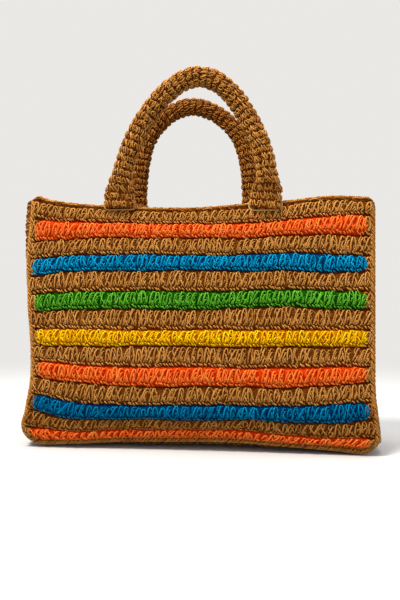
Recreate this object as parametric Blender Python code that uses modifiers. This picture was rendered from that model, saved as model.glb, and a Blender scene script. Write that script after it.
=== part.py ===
"""A crocheted tote bag: two striped panels, one plain strip for its sides and base, corded seams and two handles.

Metres, +Z up. The origin is in the middle of the base, on the floor, and the front faces -Y.
Fabric pieces are drawn as their inner face and thickened outwards, row by row.
"""

import math

import bmesh
import bpy
from mathutils import Vector

# Overall size
BAG_WIDTH = 0.360  # across the two side seams, at mid height
BAG_DEPTH = 0.104  # between the front and back panels
RIM_HEIGHT = 0.2535  # top of the rim in the middle of a panel
RIM_END_LIFT = 0.0073  # how much higher the rim stands at its corners
SIDE_DIP = 0.011  # how far the rim dips across each side
BASE_FLARE = 0.0075  # how far each bottom corner spreads outwards
FLARE_HEIGHT = 0.075  # where that spread begins
CORNER_RADIUS = 0.018  # rounding of a panel's bottom corners
BELLY = 0.005  # outward bulge of a panel
TUCK_MIDDLE = 0.014  # how far a panel's bottom edge curls under, in the middle
TUCK_END = 0.007  # the same at its corners
TUCK_HEIGHT = 0.0675  # where that curl begins
SIDE_BULGE = 0.003  # outward bulge of the side strip

# Fabric
FABRIC = 0.0034  # thickness of the crochet in the valleys between rows
GROUND_CROWN = 0.0022  # how far a plain row swells over that
STRIPE_CROWN = 0.0040  # how far a coloured row swells
VALLEY_SHARE = 0.15  # share of the swell that is left at a row's edge
SHOULDER = 0.25  # where across a row its flat top begins
SELVEDGE = 0.0035  # plain border beside the end of a stripe
STRIPE_END_ROUND = 0.005  # rounding of a stripe's ends
CLEARANCE = 0.0003  # between pieces that touch
STRIPE_END_CLEARANCE = 0.0008  # between the end of a stripe and its border

# Rows of a panel from the rim down: colour, height in the middle, and lift of the lower edge at the panel's ends
ROWS = (
    ("ground", 0.0107, 0.0031),
    ("orange", 0.0166, -0.0003),
    ("ground", 0.0170, -0.0027),
    ("blue", 0.0163, -0.0029),
    ("ground", 0.0213, -0.0028),
    ("green", 0.0177, -0.0021),
    ("ground", 0.0219, 0.0),
    ("yellow", 0.0166, -0.0015),
    ("ground", 0.0224, 0.0032),
    ("orange", 0.0208, 0.0062),
    ("ground", 0.0197, 0.0073),
    ("blue", 0.0146, 0.0052),
    ("ground", 0.0109, -0.0031),
    ("orange", 0.0083, -0.0070),
)
STRIPE_NAMES = (
    "top_orange",
    "upper_blue",
    "green",
    "yellow",
    "lower_orange",
    "lower_blue",
    "bottom_orange",
)
END_LIFT_POWER = 3

# Cords
SEAM_RADIUS = 0.0029
RIM_RADIUS = 0.0022
STITCHING_RADIUS = 0.0010
RIM_CORNER = 0.006  # rounding of the rim at the bag's four corners

# Side and base strip
STRIP_ROWS = 5
STRIP_EDGE_SHARE = 0.9  # share of the strip's width between the two turns beside its seams
STRIP_FLAT_SHARE = 0.6  # share that lies flat on the floor

# Handles: a crocheted cover round a rope
HANDLE_RADIUS = 0.0105
HANDLE_RIB = 0.0012  # how far a rib stands over the grooves beside it
RIB_PITCH = 0.0086
ROPE_RADIUS = 0.0066
TAB_HALF_WIDTH = 0.0165
TAB_HALF_DEPTH = 0.0046
TAB_WALL = 0.0030
LEFT_TAB_OVERLAP = 0.0052  # how far a left tab reaches down over the rim
RIGHT_TAB_OVERLAP = 0.0078
TAB_STRAIGHT = 0.012  # length of the flat end
TAB_TAPER = 0.026  # length over which it turns round
HANDLE_SPAN = 0.152  # between the middles of the two tabs
HANDLE_RISE = 0.136  # middle of the grip above the rim
FRONT_HANDLE_MIDDLE = -0.006
FRONT_HANDLE_LEAN = 0.008  # how far the top of the arch stands to the right of its feet
BACK_HANDLE_MIDDLE = -0.018
BACK_HANDLE_LEAN = 0.003
BACK_HANDLE_EXTRA_RISE = 0.006

# How finely the forms are cut
PANEL_COLUMNS = 10
CORNER_STATIONS = 4
HANDLE_SIDES = 8
BORE_STEP = 4  # half pitches of the ribs between two rings of a handle's hollow

COLOURS = {
    "ground": (0.42, 0.21, 0.07, 1),
    "orange": (0.83, 0.14, 0.02, 1),
    "blue": (0.01, 0.20, 0.36, 1),
    "green": (0.08, 0.30, 0.02, 1),
    "yellow": (0.86, 0.46, 0.01, 1),
    "rope": (0.74, 0.68, 0.56, 1),
}


def smooth_step(share):
    share = min(max(share, 0.0), 1.0)
    return share * share * (3 - 2 * share)


def yarn_material(colour):
    material = bpy.data.materials.get(colour) or bpy.data.materials.new(colour)
    material.use_nodes = True
    shader = material.node_tree.nodes["Principled BSDF"]
    shader.inputs["Base Color"].default_value = COLOURS[colour]
    shader.inputs["Roughness"].default_value = 0.6
    shader.inputs["Metallic"].default_value = 0.0
    material.diffuse_color = COLOURS[colour]
    return material


def add_object(name, data, colour, collection):
    obj = bpy.data.objects.new(name, data)
    data.materials.clear()
    data.materials.append(yarn_material(colour))
    collection.objects.link(obj)
    return obj


# The bag's form. Points on a wall are given by x and z, and the panel's depth follows.


def rim_height(x):
    """Top of the rim over a panel."""
    return RIM_HEIGHT + RIM_END_LIFT * abs(x / (BAG_WIDTH / 2)) ** END_LIFT_POWER


def seam_half_width(z):
    """Middle of the side seam, from the bag's middle plane."""
    flare = BASE_FLARE * smooth_step((FLARE_HEIGHT - z) / FLARE_HEIGHT)
    return BAG_WIDTH / 2 - SEAM_RADIUS + flare


PANEL_TOP = RIM_HEIGHT - 2 * RIM_RADIUS - CLEARANCE
PANEL_BOTTOM = PANEL_TOP - sum(height for _, height, _ in ROWS)
SEAM_INSET = SEAM_RADIUS + CLEARANCE
CORNER_TOP = PANEL_BOTTOM + ROWS[-1][2] + CORNER_RADIUS - SEAM_INSET
FOOT_HALF_WIDTH = seam_half_width(CORNER_TOP) - CORNER_RADIUS


def panel_half_width(z):
    """Half the width of a panel at a height, with its rounded bottom corners."""
    if z >= CORNER_TOP:
        return seam_half_width(z) - SEAM_INSET
    reach = CORNER_RADIUS - SEAM_INSET
    below = min(CORNER_TOP - z, reach)
    return FOOT_HALF_WIDTH + math.sqrt(reach**2 - below**2)


def window_half_width(z, top, bottom):
    """Half the width between the flat borders of a row, straight from its upper to its lower edge."""
    share = (top - z) / (top - bottom)
    upper, lower = panel_half_width(top), panel_half_width(bottom)
    return upper + (lower - upper) * share - SELVEDGE


def panel_depth(x, z):
    """Distance of a panel's inner face from the bag's middle plane."""
    across = min(abs(x) / (BAG_WIDTH / 2), 1.0)
    height = min(max(z / RIM_HEIGHT, 0.0), 1.0)
    belly = BELLY * (1 - across**2) * 4 * height * (1 - height)
    tuck = TUCK_MIDDLE + (TUCK_END - TUCK_MIDDLE) * across**2
    curl = max(TUCK_HEIGHT - z, 0.0) / (TUCK_HEIGHT - PANEL_BOTTOM)
    return BAG_DEPTH / 2 - FABRIC + belly - tuck * curl**2


def row_edge(index, across):
    """Height of the edge above row number index, at a share of the panel's half width."""
    middle = PANEL_TOP - sum(height for _, height, _ in ROWS[:index])
    lift = ROWS[index - 1][2] if index else RIM_END_LIFT
    return middle + lift * abs(across) ** END_LIFT_POWER


ROW_SHARES = (0.0, SHOULDER, 1 - SHOULDER, 1.0)


def row_swell(share, crown):
    """Thickness of the fabric at a share of the way across a row."""
    inside = SHOULDER / 2 < share < 1 - SHOULDER / 2
    return FABRIC + crown * (1.0 if inside else VALLEY_SHARE)


def row_place(index, share, across, inset=0.0, end_inset=0.0):
    """Inner-face point of a row, at a share of its height and across its window, held in from the window's edges."""
    top, bottom = row_edge(index, across), row_edge(index + 1, across)
    z = top - inset + (bottom - top + 2 * inset) * share
    coloured = ROWS[index][0] != "ground"
    bulge = math.sqrt(1 - (2 * share - 1) ** 2) if coloured and abs(across) == 1.0 else 0.0
    end_edges = row_edge(index, 1.0), row_edge(index + 1, 1.0)
    half = window_half_width(z, *end_edges) - STRIPE_END_ROUND * (1 - bulge)
    x = across * (half - end_inset)
    return Vector((x, -panel_depth(x, z), z))


def panel_place(column, line):
    """Inner-face point of the ground at a column and at a line counted from the rim down, and its share of the row."""
    index = min(line // 3, len(ROWS) - 1)
    share = ROW_SHARES[line - 3 * index]
    across = 2 * (column - 1) / (PANEL_COLUMNS - 2) - 1
    if abs(across) <= 1.0:
        return row_place(index, share, across), share
    top, bottom = row_edge(index, 1.0), row_edge(index + 1, 1.0)
    z = top + (bottom - top) * share
    half = panel_half_width(z)
    if bottom > CORNER_TOP:
        half = window_half_width(z, top, bottom) + SELVEDGE
    x = math.copysign(half, across)
    return Vector((x, -panel_depth(x, z), z)), share


def seam_depth(x, z):
    return panel_depth(x, z) + FABRIC / 2


# Building blocks


def grid_sheet(name, columns, lines, place, keep=None):
    """A grid of faces set out by place(column, line), which gives a point and a thickness, thickened along its normals."""
    mesh = bpy.data.meshes.new(name)
    bm = bmesh.new()
    bmesh.ops.create_grid(bm, x_segments=columns, y_segments=lines, size=1.0)
    weights = bm.verts.layers.deform.verify()
    spots = {}
    for vert in bm.verts:
        column = round((vert.co.x + 1) / 2 * columns)
        line = round((vert.co.y + 1) / 2 * lines)
        spots[vert] = (column, line)
    if keep:
        dropped = []
        for face in bm.faces:
            column = min(spots[v][0] for v in face.verts)
            line = min(spots[v][1] for v in face.verts)
            if not keep(column, line):
                dropped.append(face)
        bmesh.ops.delete(bm, geom=dropped, context="FACES")
    placed = {vert: place(*spots[vert]) for vert in bm.verts}
    thickest = max(thickness for _, thickness in placed.values())
    for vert, (point, thickness) in placed.items():
        vert.co = point
        vert[weights][0] = thickness / thickest
    bm.to_mesh(mesh)
    bm.free()
    return mesh, thickest


def thicken(obj, thickest):
    obj.vertex_groups.new(name="thickness")
    solid = obj.modifiers.new("thickness", "SOLIDIFY")
    solid.thickness = thickest
    solid.offset = 1.0
    solid.vertex_group = "thickness"
    solid.thickness_vertex_group = 0.0


def cord(name, points, radius, colour, collection, closed=False, smoothness=1):
    """A round cord through the points."""
    curve = bpy.data.curves.new(name, "CURVE")
    curve.dimensions = "3D"
    curve.bevel_depth = radius
    curve.bevel_resolution = smoothness
    curve.use_fill_caps = not closed
    spline = curve.splines.new("POLY")
    spline.points.add(len(points) - 1)
    for spot, point in zip(spline.points, points):
        spot.co = (*point, 1.0)
    spline.use_cyclic_u = closed
    return add_object(name, curve, colour, collection)


def loft(name, rings):
    """A closed solid through rings of points, all of one count."""
    count = len(rings[0])
    mesh = bpy.data.meshes.new(name)
    bm = bmesh.new()
    bmesh.ops.create_grid(bm, x_segments=count, y_segments=len(rings) - 1, size=1.0)
    for vert in bm.verts:
        around = round((vert.co.x + 1) / 2 * count)
        along = round((vert.co.y + 1) / 2 * (len(rings) - 1))
        vert.co = rings[along][around % count]
    bmesh.ops.remove_doubles(bm, verts=bm.verts, dist=1e-6)
    bmesh.ops.holes_fill(bm, edges=bm.edges, sides=0)
    bmesh.ops.recalc_face_normals(bm, faces=bm.faces)
    bm.to_mesh(mesh)
    bm.free()
    return mesh


def both_sides(name, mesh, colour, collection, thickest):
    """The same piece on the front of the bag and, turned half round, on its back."""
    for side, angle in (("front", 0.0), ("back", math.pi)):
        obj = add_object(f"{side}_{name}", mesh, colour, collection)
        obj.rotation_euler.z = angle
        if thickest:
            thicken(obj, thickest)


# Sub-parts


def make_panels(collection):
    lines = 3 * len(ROWS)

    def ground_place(column, line):
        point, share = panel_place(column, lines - line)
        return point, row_swell(share, GROUND_CROWN)

    def in_ground(column, line):
        row = (lines - 1 - line) // 3
        return ROWS[row][0] == "ground" or column in (0, PANEL_COLUMNS - 1)

    mesh, thickest = grid_sheet(
        "ground", PANEL_COLUMNS, lines, ground_place, in_ground
    )
    both_sides("panel_ground", mesh, "ground", collection, thickest)


def make_stripes(collection):
    coloured = [i for i, row in enumerate(ROWS) if row[0] != "ground"]
    for name, index in zip(STRIPE_NAMES, coloured):

        def stripe_place(column, line, index=index):
            share = ROW_SHARES[3 - line]
            across = 2 * column / (PANEL_COLUMNS - 2) - 1
            point = row_place(index, share, across, CLEARANCE, STRIPE_END_CLEARANCE)
            return point, row_swell(share, STRIPE_CROWN)

        mesh, thickest = grid_sheet(name, PANEL_COLUMNS - 2, 3, stripe_place)
        both_sides(f"{name}_stripe", mesh, ROWS[index][0], collection, thickest)


def edge_stations():
    """A panel's edge seen from the front, left rim to right rim: x, z and the outward direction there."""
    heights = [row_edge(index, 1.0) for index in range(len(ROWS))]
    straight = [z for z in heights if z > FLARE_HEIGHT]
    flared = [z for z in heights if FLARE_HEIGHT >= z > CORNER_TOP]
    heights = [straight[0], straight[len(straight) // 2], straight[-1], *flared, CORNER_TOP]
    stations = [(-panel_half_width(z), z, (-1.0, 0.0)) for z in heights]
    reach = CORNER_RADIUS - SEAM_INSET
    for step in range(1, CORNER_STATIONS):
        angle = math.pi / 2 * step / CORNER_STATIONS
        out = (-math.cos(angle), -math.sin(angle))
        x, z = -FOOT_HALF_WIDTH + reach * out[0], CORNER_TOP + reach * out[1]
        stations.append((x, z, out))
    stations.append((-FOOT_HALF_WIDTH, row_edge(len(ROWS), 1.0), (0.0, -1.0)))
    columns = PANEL_COLUMNS - 2
    foot = FOOT_HALF_WIDTH - SELVEDGE - STRIPE_END_ROUND
    for column in range(columns // 2):
        across = 2 * column / columns - 1
        stations.append((across * foot, row_edge(len(ROWS), across), (0.0, -1.0)))
    middle = (0.0, PANEL_BOTTOM, (0.0, -1.0))
    other_half = [(-x, z, (-out[0], out[1])) for x, z, out in reversed(stations)]
    return stations + [middle] + other_half


def beyond_edge(x, z, out, room):
    """A point in the middle of the fabric's thickness, further on from a panel's edge in the direction out."""
    step = 1e-5
    here = Vector((x, -panel_depth(x, z), z))
    beyond_x, beyond_z = x + out[0] * step, z + out[1] * step
    beyond = Vector((beyond_x, -panel_depth(beyond_x, beyond_z), beyond_z))
    slope = (panel_depth(x, z + step) - panel_depth(x, z)) / step
    normal = Vector((0.0, -1.0, -slope)).normalized()
    return here + normal * (FABRIC / 2) + (beyond - here).normalized() * room


def seam_stations():
    """Middle line of a seam's cord, just beyond the panel's edge: the point and the outward direction there."""
    stations = []
    bend = 1 / math.cos(math.pi / 4 / CORNER_STATIONS)
    for x, z, out in edge_stations():
        in_corner = abs(out[0] * out[1]) > 0.01
        room = SEAM_INSET + (CORNER_RADIUS * (bend - 1) if in_corner else 0.0)
        stations.append((beyond_edge(x, z, out, room), Vector((out[0], 0.0, out[1]))))
    return stations


def make_seams(collection):
    points = [point for point, _ in seam_stations()]
    cord("front_seam_edging", points, SEAM_RADIUS, "ground", collection)
    turned = [Vector((-p.x, -p.y, p.z)) for p in points]
    cord("back_seam_edging", turned, SEAM_RADIUS, "ground", collection)


def make_strip(collection):
    stations = seam_stations()
    lines = 3 * STRIP_ROWS
    top = row_edge(0, 1.0)

    def place(column, line):
        seam, out = stations[column]
        row = min(line // 3, STRIP_ROWS - 1)
        share = ROW_SHARES[line - 3 * row]
        across = 1 - 2 * (row + share) / STRIP_ROWS
        half = -seam.y - SEAM_INSET
        turn = STRIP_EDGE_SHARE - STRIP_FLAT_SHARE
        fade = smooth_step((STRIP_EDGE_SHARE - abs(across)) / turn)
        floor_bulge = seam.z - FABRIC / 2 - GROUND_CROWN
        bulge = SIDE_BULGE + (floor_bulge - SIDE_BULGE) * smooth_step(-out.z)
        reach = bulge * fade - FABRIC / 2
        dip = SIDE_DIP * (1 - across**2) * smooth_step((seam.z - top / 2) / (top / 2))
        point = Vector((seam.x, across * half, seam.z - dip)) + out * reach
        return point, row_swell(share, GROUND_CROWN)

    mesh, thickest = grid_sheet("strip", len(stations) - 1, lines, place)
    strip = add_object("side_and_base_strip", mesh, "ground", collection)
    thicken(strip, thickest)


def make_rim(collection):
    columns = PANEL_COLUMNS - 2
    room = RIM_RADIUS + CLEARANCE
    reach = panel_half_width(row_edge(0, 1.0)) - SELVEDGE - STRIPE_END_ROUND
    half = []
    for column in range(columns // 2, columns + 1):
        across = 2 * column / columns - 1
        half.append(beyond_edge(across * reach, row_edge(0, across), (0.0, 1.0), room))
    corner = seam_stations()[-1][0]
    corner.z += room
    straight = corner.x - RIM_CORNER
    for step in (0, 1, 2, 3):
        angle = math.pi / 2 * step / 3
        x = straight + RIM_CORNER * math.sin(angle)
        y = corner.y + RIM_CORNER * (1 - math.cos(angle))
        half.append(Vector((x, y, corner.z)))
    for step in (1, 2):
        y = (corner.y + RIM_CORNER) * (1 - step / 3)
        half.append(Vector((corner.x, y, corner.z - SIDE_DIP * (1 - (y / corner.y) ** 2))))
    side = Vector((corner.x, 0.0, corner.z - SIDE_DIP))
    half = half + [side] + [Vector((p.x, -p.y, p.z)) for p in reversed(half[1:])]
    points = half + [Vector((-p.x, -p.y, p.z)) for p in half]
    cord("rim_edging", points, RIM_RADIUS, "ground", collection, closed=True)


class Handle:
    """Where one handle stands and how its section changes along it."""

    def __init__(self, side, middle, lean, extra_rise):
        self.side = side
        self.middle = middle
        self.lean = lean
        self.rise = HANDLE_RISE + extra_rise
        self.line = self.middle_line()

    def back_plane(self):
        """Distance of a tab's flat back from the bag's middle plane."""
        face = panel_depth(HANDLE_SPAN / 2, PANEL_TOP)
        return face + FABRIC + GROUND_CROWN + CLEARANCE

    def foot_height(self, sign):
        x = self.middle + sign * HANDLE_SPAN / 2
        return rim_height(x) - (LEFT_TAB_OVERLAP if sign < 0 else RIGHT_TAB_OVERLAP)

    def arch_point(self, angle):
        """A point of the arch, from the left foot at angle 0 to the right one at pi."""
        level = math.sin(angle)
        sign = -1.0 if angle < math.pi / 2 else 1.0
        foot = self.foot_height(sign)
        half = HANDLE_SPAN / 2
        x = self.middle + self.lean * level**2 - half * math.cos(angle)
        z = foot + (RIM_HEIGHT + self.rise - foot) * level
        return Vector((x, 0.0, z))

    def middle_line(self):
        """Points a rib's half pitch apart along the arch, with the distance from the left foot."""
        fine = [self.arch_point(math.pi * step / 720) for step in range(721)]
        distance = [0.0]
        for a, b in zip(fine, fine[1:]):
            distance.append(distance[-1] + (b - a).length)
        count = BORE_STEP * round(2 * distance[-1] / RIB_PITCH / BORE_STEP)
        line, at = [], 0
        for step in range(count + 1):
            target = distance[-1] * step / count
            while at < 719 and distance[at + 1] < target:
                at += 1
            share = (target - distance[at]) / (distance[at + 1] - distance[at])
            line.append((fine[at].lerp(fine[at + 1], share), target))
        self.length = distance[-1]
        return line

    def roundness(self, distance):
        """0 on a flat tab and 1 where the handle is round."""
        from_foot = min(distance, self.length - distance)
        return smooth_step((from_foot - TAB_STRAIGHT) / TAB_TAPER)

    def ring(self, step, half_width, half_depth, stretch=0.0):
        """A ring of points round the middle line."""
        point, _ = self.line[step]
        before = self.line[max(step - 1, 0)][0]
        after = self.line[min(step + 1, len(self.line) - 1)][0]
        ahead = (after - before).normalized()
        outward = Vector((ahead.z, 0.0, -ahead.x))
        depth = Vector((0.0, 1.0, 0.0))
        point = point + ahead * stretch
        middle = Vector((point.x, self.side * (self.back_plane() + TAB_HALF_DEPTH), point.z))
        ring = []
        for corner in range(HANDLE_SIDES):
            angle = 2 * math.pi * (corner + 0.5) / HANDLE_SIDES
            ring.append(
                middle
                + outward * (half_width * math.cos(angle))
                + depth * (half_depth * math.sin(angle))
            )
        return ring

    def cover_rings(self):
        grow = 1 / math.cos(math.pi / HANDLE_SIDES)
        rings = []
        for step, (_, distance) in enumerate(self.line):
            round_share = self.roundness(distance)
            rib = HANDLE_RIB * (step % 2) * round_share
            width = TAB_HALF_WIDTH + (HANDLE_RADIUS - TAB_HALF_WIDTH) * round_share
            depth = TAB_HALF_DEPTH + (HANDLE_RADIUS - TAB_HALF_DEPTH) * round_share
            groove = HANDLE_RIB * round_share
            rings.append(
                self.ring(
                    step,
                    (width - groove + rib) * grow,
                    (depth - groove + rib) * grow ** round_share,
                )
            )
        return rings

    def bore_rings(self):
        """The hollow that takes the rope, ending in a slit through each tab."""
        grow = 1 / math.cos(math.pi / HANDLE_SIDES)
        bore = ROPE_RADIUS + CLEARANCE
        rings = []
        last = len(self.line) - 1
        for step in range(0, last + 1, BORE_STEP):
            round_share = self.roundness(self.line[step][1])
            slit_width, slit_depth = TAB_HALF_WIDTH - TAB_WALL, TAB_HALF_DEPTH - TAB_WALL
            width = slit_width + (bore - slit_width) * round_share
            depth = slit_depth + (bore - slit_depth) * round_share
            stretch = {0: -0.002, last: 0.002}.get(step, 0.0)
            rings.append(self.ring(step, width * grow, depth * grow, stretch))
        return rings

    def rope_points(self):
        """Middle line of the rope, between the two tapers."""
        points = []
        for step in range(0, len(self.line), BORE_STEP):
            point, distance = self.line[step]
            if self.roundness(distance) > 0.999:
                y = self.side * (self.back_plane() + TAB_HALF_DEPTH)
                points.append(Vector((point.x, y, point.z)))
        return points

    def stitching_points(self, sign):
        """The yarn that sews a tab down, round its sides and lower end."""
        step = 0 if sign < 0 else len(self.line) - 1
        foot, _ = self.line[step]
        out = TAB_HALF_WIDTH / math.cos(math.pi / HANDLE_SIDES) + CLEARANCE + STITCHING_RADIUS
        y = self.side * (self.back_plane() + STITCHING_RADIUS)
        low = foot.z - CLEARANCE - STITCHING_RADIUS
        high = rim_height(foot.x) - RIM_RADIUS
        bend = 0.003
        outline = (
            (-out, high),
            (-out, low + bend),
            (-out + bend, low),
            (0.0, low),
            (out - bend, low),
            (out, low + bend),
            (out, high),
        )
        return [Vector((foot.x + x, y, z)) for x, z in outline]


def make_handles(collection, cutters):
    for name, side, middle, lean, extra in (
        ("front", -1, FRONT_HANDLE_MIDDLE, FRONT_HANDLE_LEAN, 0.0),
        ("back", 1, BACK_HANDLE_MIDDLE, BACK_HANDLE_LEAN, BACK_HANDLE_EXTRA_RISE),
    ):
        handle = Handle(side, middle, lean, extra)
        cover_mesh = loft(f"{name}_handle_cover", handle.cover_rings())
        cover = add_object(f"{name}_handle_cover", cover_mesh, "ground", collection)
        bore_mesh = loft(f"{name}_handle_bore", handle.bore_rings())
        bore = add_object(f"{name}_handle_bore", bore_mesh, "ground", cutters)
        bore.hide_render = True
        bore.display_type = "WIRE"
        cut = cover.modifiers.new("bore", "BOOLEAN")
        cut.object = bore
        cut.operation = "DIFFERENCE"
        cord(
            f"{name}_handle_rope",
            handle.rope_points(),
            ROPE_RADIUS,
            "rope",
            collection,
            smoothness=2,
        )
        for end, sign in (("left", -1), ("right", 1)):
            cord(
                f"{name}_{end}_tab_stitching",
                handle.stitching_points(sign),
                STITCHING_RADIUS,
                "ground",
                collection,
            )


def main():
    for obj in list(bpy.data.objects):
        bpy.data.objects.remove(obj)
    bag = bpy.data.collections.new("crocheted_bag")
    cutters = bpy.data.collections.new("cutters")
    bpy.context.scene.collection.children.link(bag)
    bpy.context.scene.collection.children.link(cutters)
    make_panels(bag)
    make_stripes(bag)
    make_seams(bag)
    make_strip(bag)
    make_rim(bag)
    make_handles(bag, cutters)


main()
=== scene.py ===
"""Looks of a crocheted tote bag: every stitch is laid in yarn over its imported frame.

Metres, +Z up, and the front of the bag faces -Y.
"""

import math

import bpy
import numpy as np
from bpy.props import FloatProperty, FloatVectorProperty, IntProperty, PointerProperty
from mathutils import Matrix, Vector


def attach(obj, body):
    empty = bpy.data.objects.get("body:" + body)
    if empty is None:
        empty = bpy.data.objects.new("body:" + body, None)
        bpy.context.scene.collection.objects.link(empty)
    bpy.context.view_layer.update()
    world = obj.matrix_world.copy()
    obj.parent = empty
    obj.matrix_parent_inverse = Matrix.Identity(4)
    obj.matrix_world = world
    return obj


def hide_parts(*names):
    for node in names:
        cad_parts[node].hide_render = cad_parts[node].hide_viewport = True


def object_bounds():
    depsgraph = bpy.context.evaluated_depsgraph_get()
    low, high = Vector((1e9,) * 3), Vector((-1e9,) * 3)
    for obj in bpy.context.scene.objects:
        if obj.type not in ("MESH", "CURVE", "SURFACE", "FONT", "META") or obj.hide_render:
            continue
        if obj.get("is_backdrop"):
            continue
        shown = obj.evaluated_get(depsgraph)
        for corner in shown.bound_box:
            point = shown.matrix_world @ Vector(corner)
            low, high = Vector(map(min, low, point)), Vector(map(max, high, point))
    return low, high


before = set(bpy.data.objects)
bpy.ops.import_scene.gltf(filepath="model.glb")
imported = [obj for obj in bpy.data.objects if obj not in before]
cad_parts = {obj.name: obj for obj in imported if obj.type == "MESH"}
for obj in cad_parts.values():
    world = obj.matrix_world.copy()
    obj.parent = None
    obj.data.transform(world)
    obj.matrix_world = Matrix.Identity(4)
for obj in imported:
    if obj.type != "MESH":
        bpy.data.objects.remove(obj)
CAD_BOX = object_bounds()

bl_info = {
    "name": "Crocheted tote bag",
    "version": (1, 0, 0),
    "blender": (4, 5, 0),
    "location": "View3D > Sidebar > Tote bag",
    "description": "Lays the yarn of a striped crocheted tote bag over its solids",
    "category": "Add Mesh",
}

# Rows of a panel from the rim down: yarn, height in the middle, and lift of the lower edge at the panel's ends
ROWS = (
    ("ground", 0.0107, 0.0031),
    ("orange", 0.0166, -0.0003),
    ("ground", 0.0170, -0.0027),
    ("blue", 0.0163, -0.0029),
    ("ground", 0.0213, -0.0028),
    ("green", 0.0177, -0.0021),
    ("ground", 0.0219, 0.0),
    ("yellow", 0.0166, -0.0015),
    ("ground", 0.0224, 0.0032),
    ("orange", 0.0208, 0.0062),
    ("ground", 0.0197, 0.0073),
    ("blue", 0.0146, 0.0052),
    ("ground", 0.0109, -0.0031),
    ("orange", 0.0083, -0.0070),
)
STRIPES = (
    ("top_orange", 1),
    ("upper_blue", 3),
    ("green", 5),
    ("yellow", 7),
    ("lower_orange", 9),
    ("lower_blue", 11),
    ("bottom_orange", 13),
)

# How far the front's cloth lies above its drawn place, in millimetres: a line for each row's upper edge,
# and one for the last lower edge, at nine even places across the bag. The back does it by BACK_SHARE.
SLUMP_UP = (
    (8.8, 5.0, 4.0, 2.3, 1.8, 4.5, 6.4, 8.0, 1.3),
    (3.0, 1.5, 2.5, 0.0, -1.0, -0.5, 2.0, 4.0, 4.0),
    (-1.0, 2.5, 3.0, 1.0, 2.0, 1.0, 3.0, 4.0, 3.0),
    (1.0, 2.0, 1.5, 2.0, 0.0, 0.0, 2.7, 2.0, 1.0),
    (-2.5, 1.5, 2.0, 1.0, 1.0, 0.0, 1.5, -0.5, 2.0),
    (-1.0, 2.0, 1.0, 1.0, 0.0, 1.0, 2.5, 2.0, 4.0),
    (0.0, 0.0, 0.0, 0.0, 0.0, 1.0, 3.0, 2.0, 2.0),
    (0.0, 0.0, 0.0, 0.0, 0.0, 0.0, 1.0, 1.0, 1.0),
    (0.0, 0.0, 0.0, 0.0, 0.0, 0.0, 1.0, 1.0, 1.0),
    (3.5, 1.0, -1.0, 0.0, 2.0, 0.0, 0.0, 1.0, 1.0),
    (3.5, 1.0, 1.0, 1.0, 2.0, 2.0, 1.0, 2.5, 1.0),
    (4.5, -1.0, 0.0, 1.0, 2.0, 3.0, 2.0, 0.5, 1.0),
    (4.0, -2.0, -0.5, 1.0, 1.0, 3.0, -0.5, -2.5, 0.5),
    (5.0, -2.5, -0.5, 1.0, 2.0, 1.0, -1.5, -2.5, -0.5),
    (3.0, -1.5, 0.0, 0.0, 1.0, 1.0, -1.0, -1.0, 0.0),
)
# How far its left end is pulled to the right, and the side strip's front edge with it, in millimetres
SLUMP_LEFT = (-1.0, -2.5, -4.5, -6.1, -6.1, -4.8, -4.5, -2.4, -1.3, -0.8, -1.4, -3.3, -4.6, -7.2, -8.0)
STRIP_LEFT = (-8.5, -8.0, -5.5, -4.2, -1.8, -1.5, -1.5, -1.2, -0.6, 0.0, 0.0, 0.0, 0.0, 0.0, 0.0)
BACK_SHARE = 0.4
# The lowest rows are darkened with painted shade
LOW_ROW_SHADES = {11: -0.75, 12: -0.35, 13: -0.15}
# How far the soft handles are pulled to the right, in millimetres, at 13 even places from the left foot on
HANDLE_PULL = {
    "front": (-1.0, -0.2, 1.4, 2.6, 3.0, 1.0, -2.0, -3.5, -4.0, -2.2, 1.2, 3.3, -0.5),
    "back": (9.5, 4.5, -1.0, -7.0, -8.5, -8.0, -6.0, -4.0, 0.3, 2.2, -0.6, -5.2, -4.8),
}

# A stitch is a few strands. A strand is its radius as a share of the yarn's, how many rings, and its line. Each
# point of a line is across the stitch, up the row, and from the backing (0) to the crest (100), in hundredths.
BEADS = (
    (1.05, 4, ((-2, 17, 10), (12, 15, 90), (36, 6, 90), (52, 1, 10))),
    (1.05, 4, ((46, 15, 10), (62, 14, 90), (84, 6, 80), (100, 3, 10))),
)
LOW_SLANT = (0.85, 4, ((24, 22, 40), (42, 24, 80), (62, 40, 85), (84, 58, 20)))
FILLER = (0.8, 4, ((58, 22, 40), (74, 30, 70), (90, 48, 55), (106, 62, 10)))
CROSSING = (0.7, 4, ((102, 13, 40), (74, 29, 115), (44, 45, 115), (20, 60, 30)))
BEHIND = (0.85, 4, ((2, 98, 20), (34, 84, 55), (64, 66, 55), (96, 52, 20)))
SLANTED_HOOK = (
    (1.1, 7, (
        (-14, 22, 40), (0, 30, 90), (16, 54, 105), (36, 78, 115),
        (62, 95, 100), (90, 94, 60), (106, 78, 0),
    )),
    (0.85, 6, ((10, 22, 40), (24, 34, 70), (42, 55, 85), (64, 74, 80), (88, 80, 40), (100, 72, 0))),
    (0.8, 4, ((36, 66, 10), (50, 46, 80), (68, 32, 90), (86, 20, 30))),
    LOW_SLANT,
    BEHIND,
    CROSSING,
    *BEADS,
)
PEAKED_HOOK = (
    (1.1, 8, (
        (-6, 22, 40), (2, 36, 90), (14, 66, 110), (34, 92, 115),
        (62, 98, 100), (82, 80, 90), (90, 56, 20),
    )),
    (0.9, 5, ((98, 22, 40), (82, 34, 90), (64, 56, 100), (46, 74, 30))),
    (0.8, 4, ((20, 20, 20), (34, 36, 70), (52, 52, 70), (70, 66, 20))),
    LOW_SLANT,
    BEHIND,
    *BEADS,
)
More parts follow.
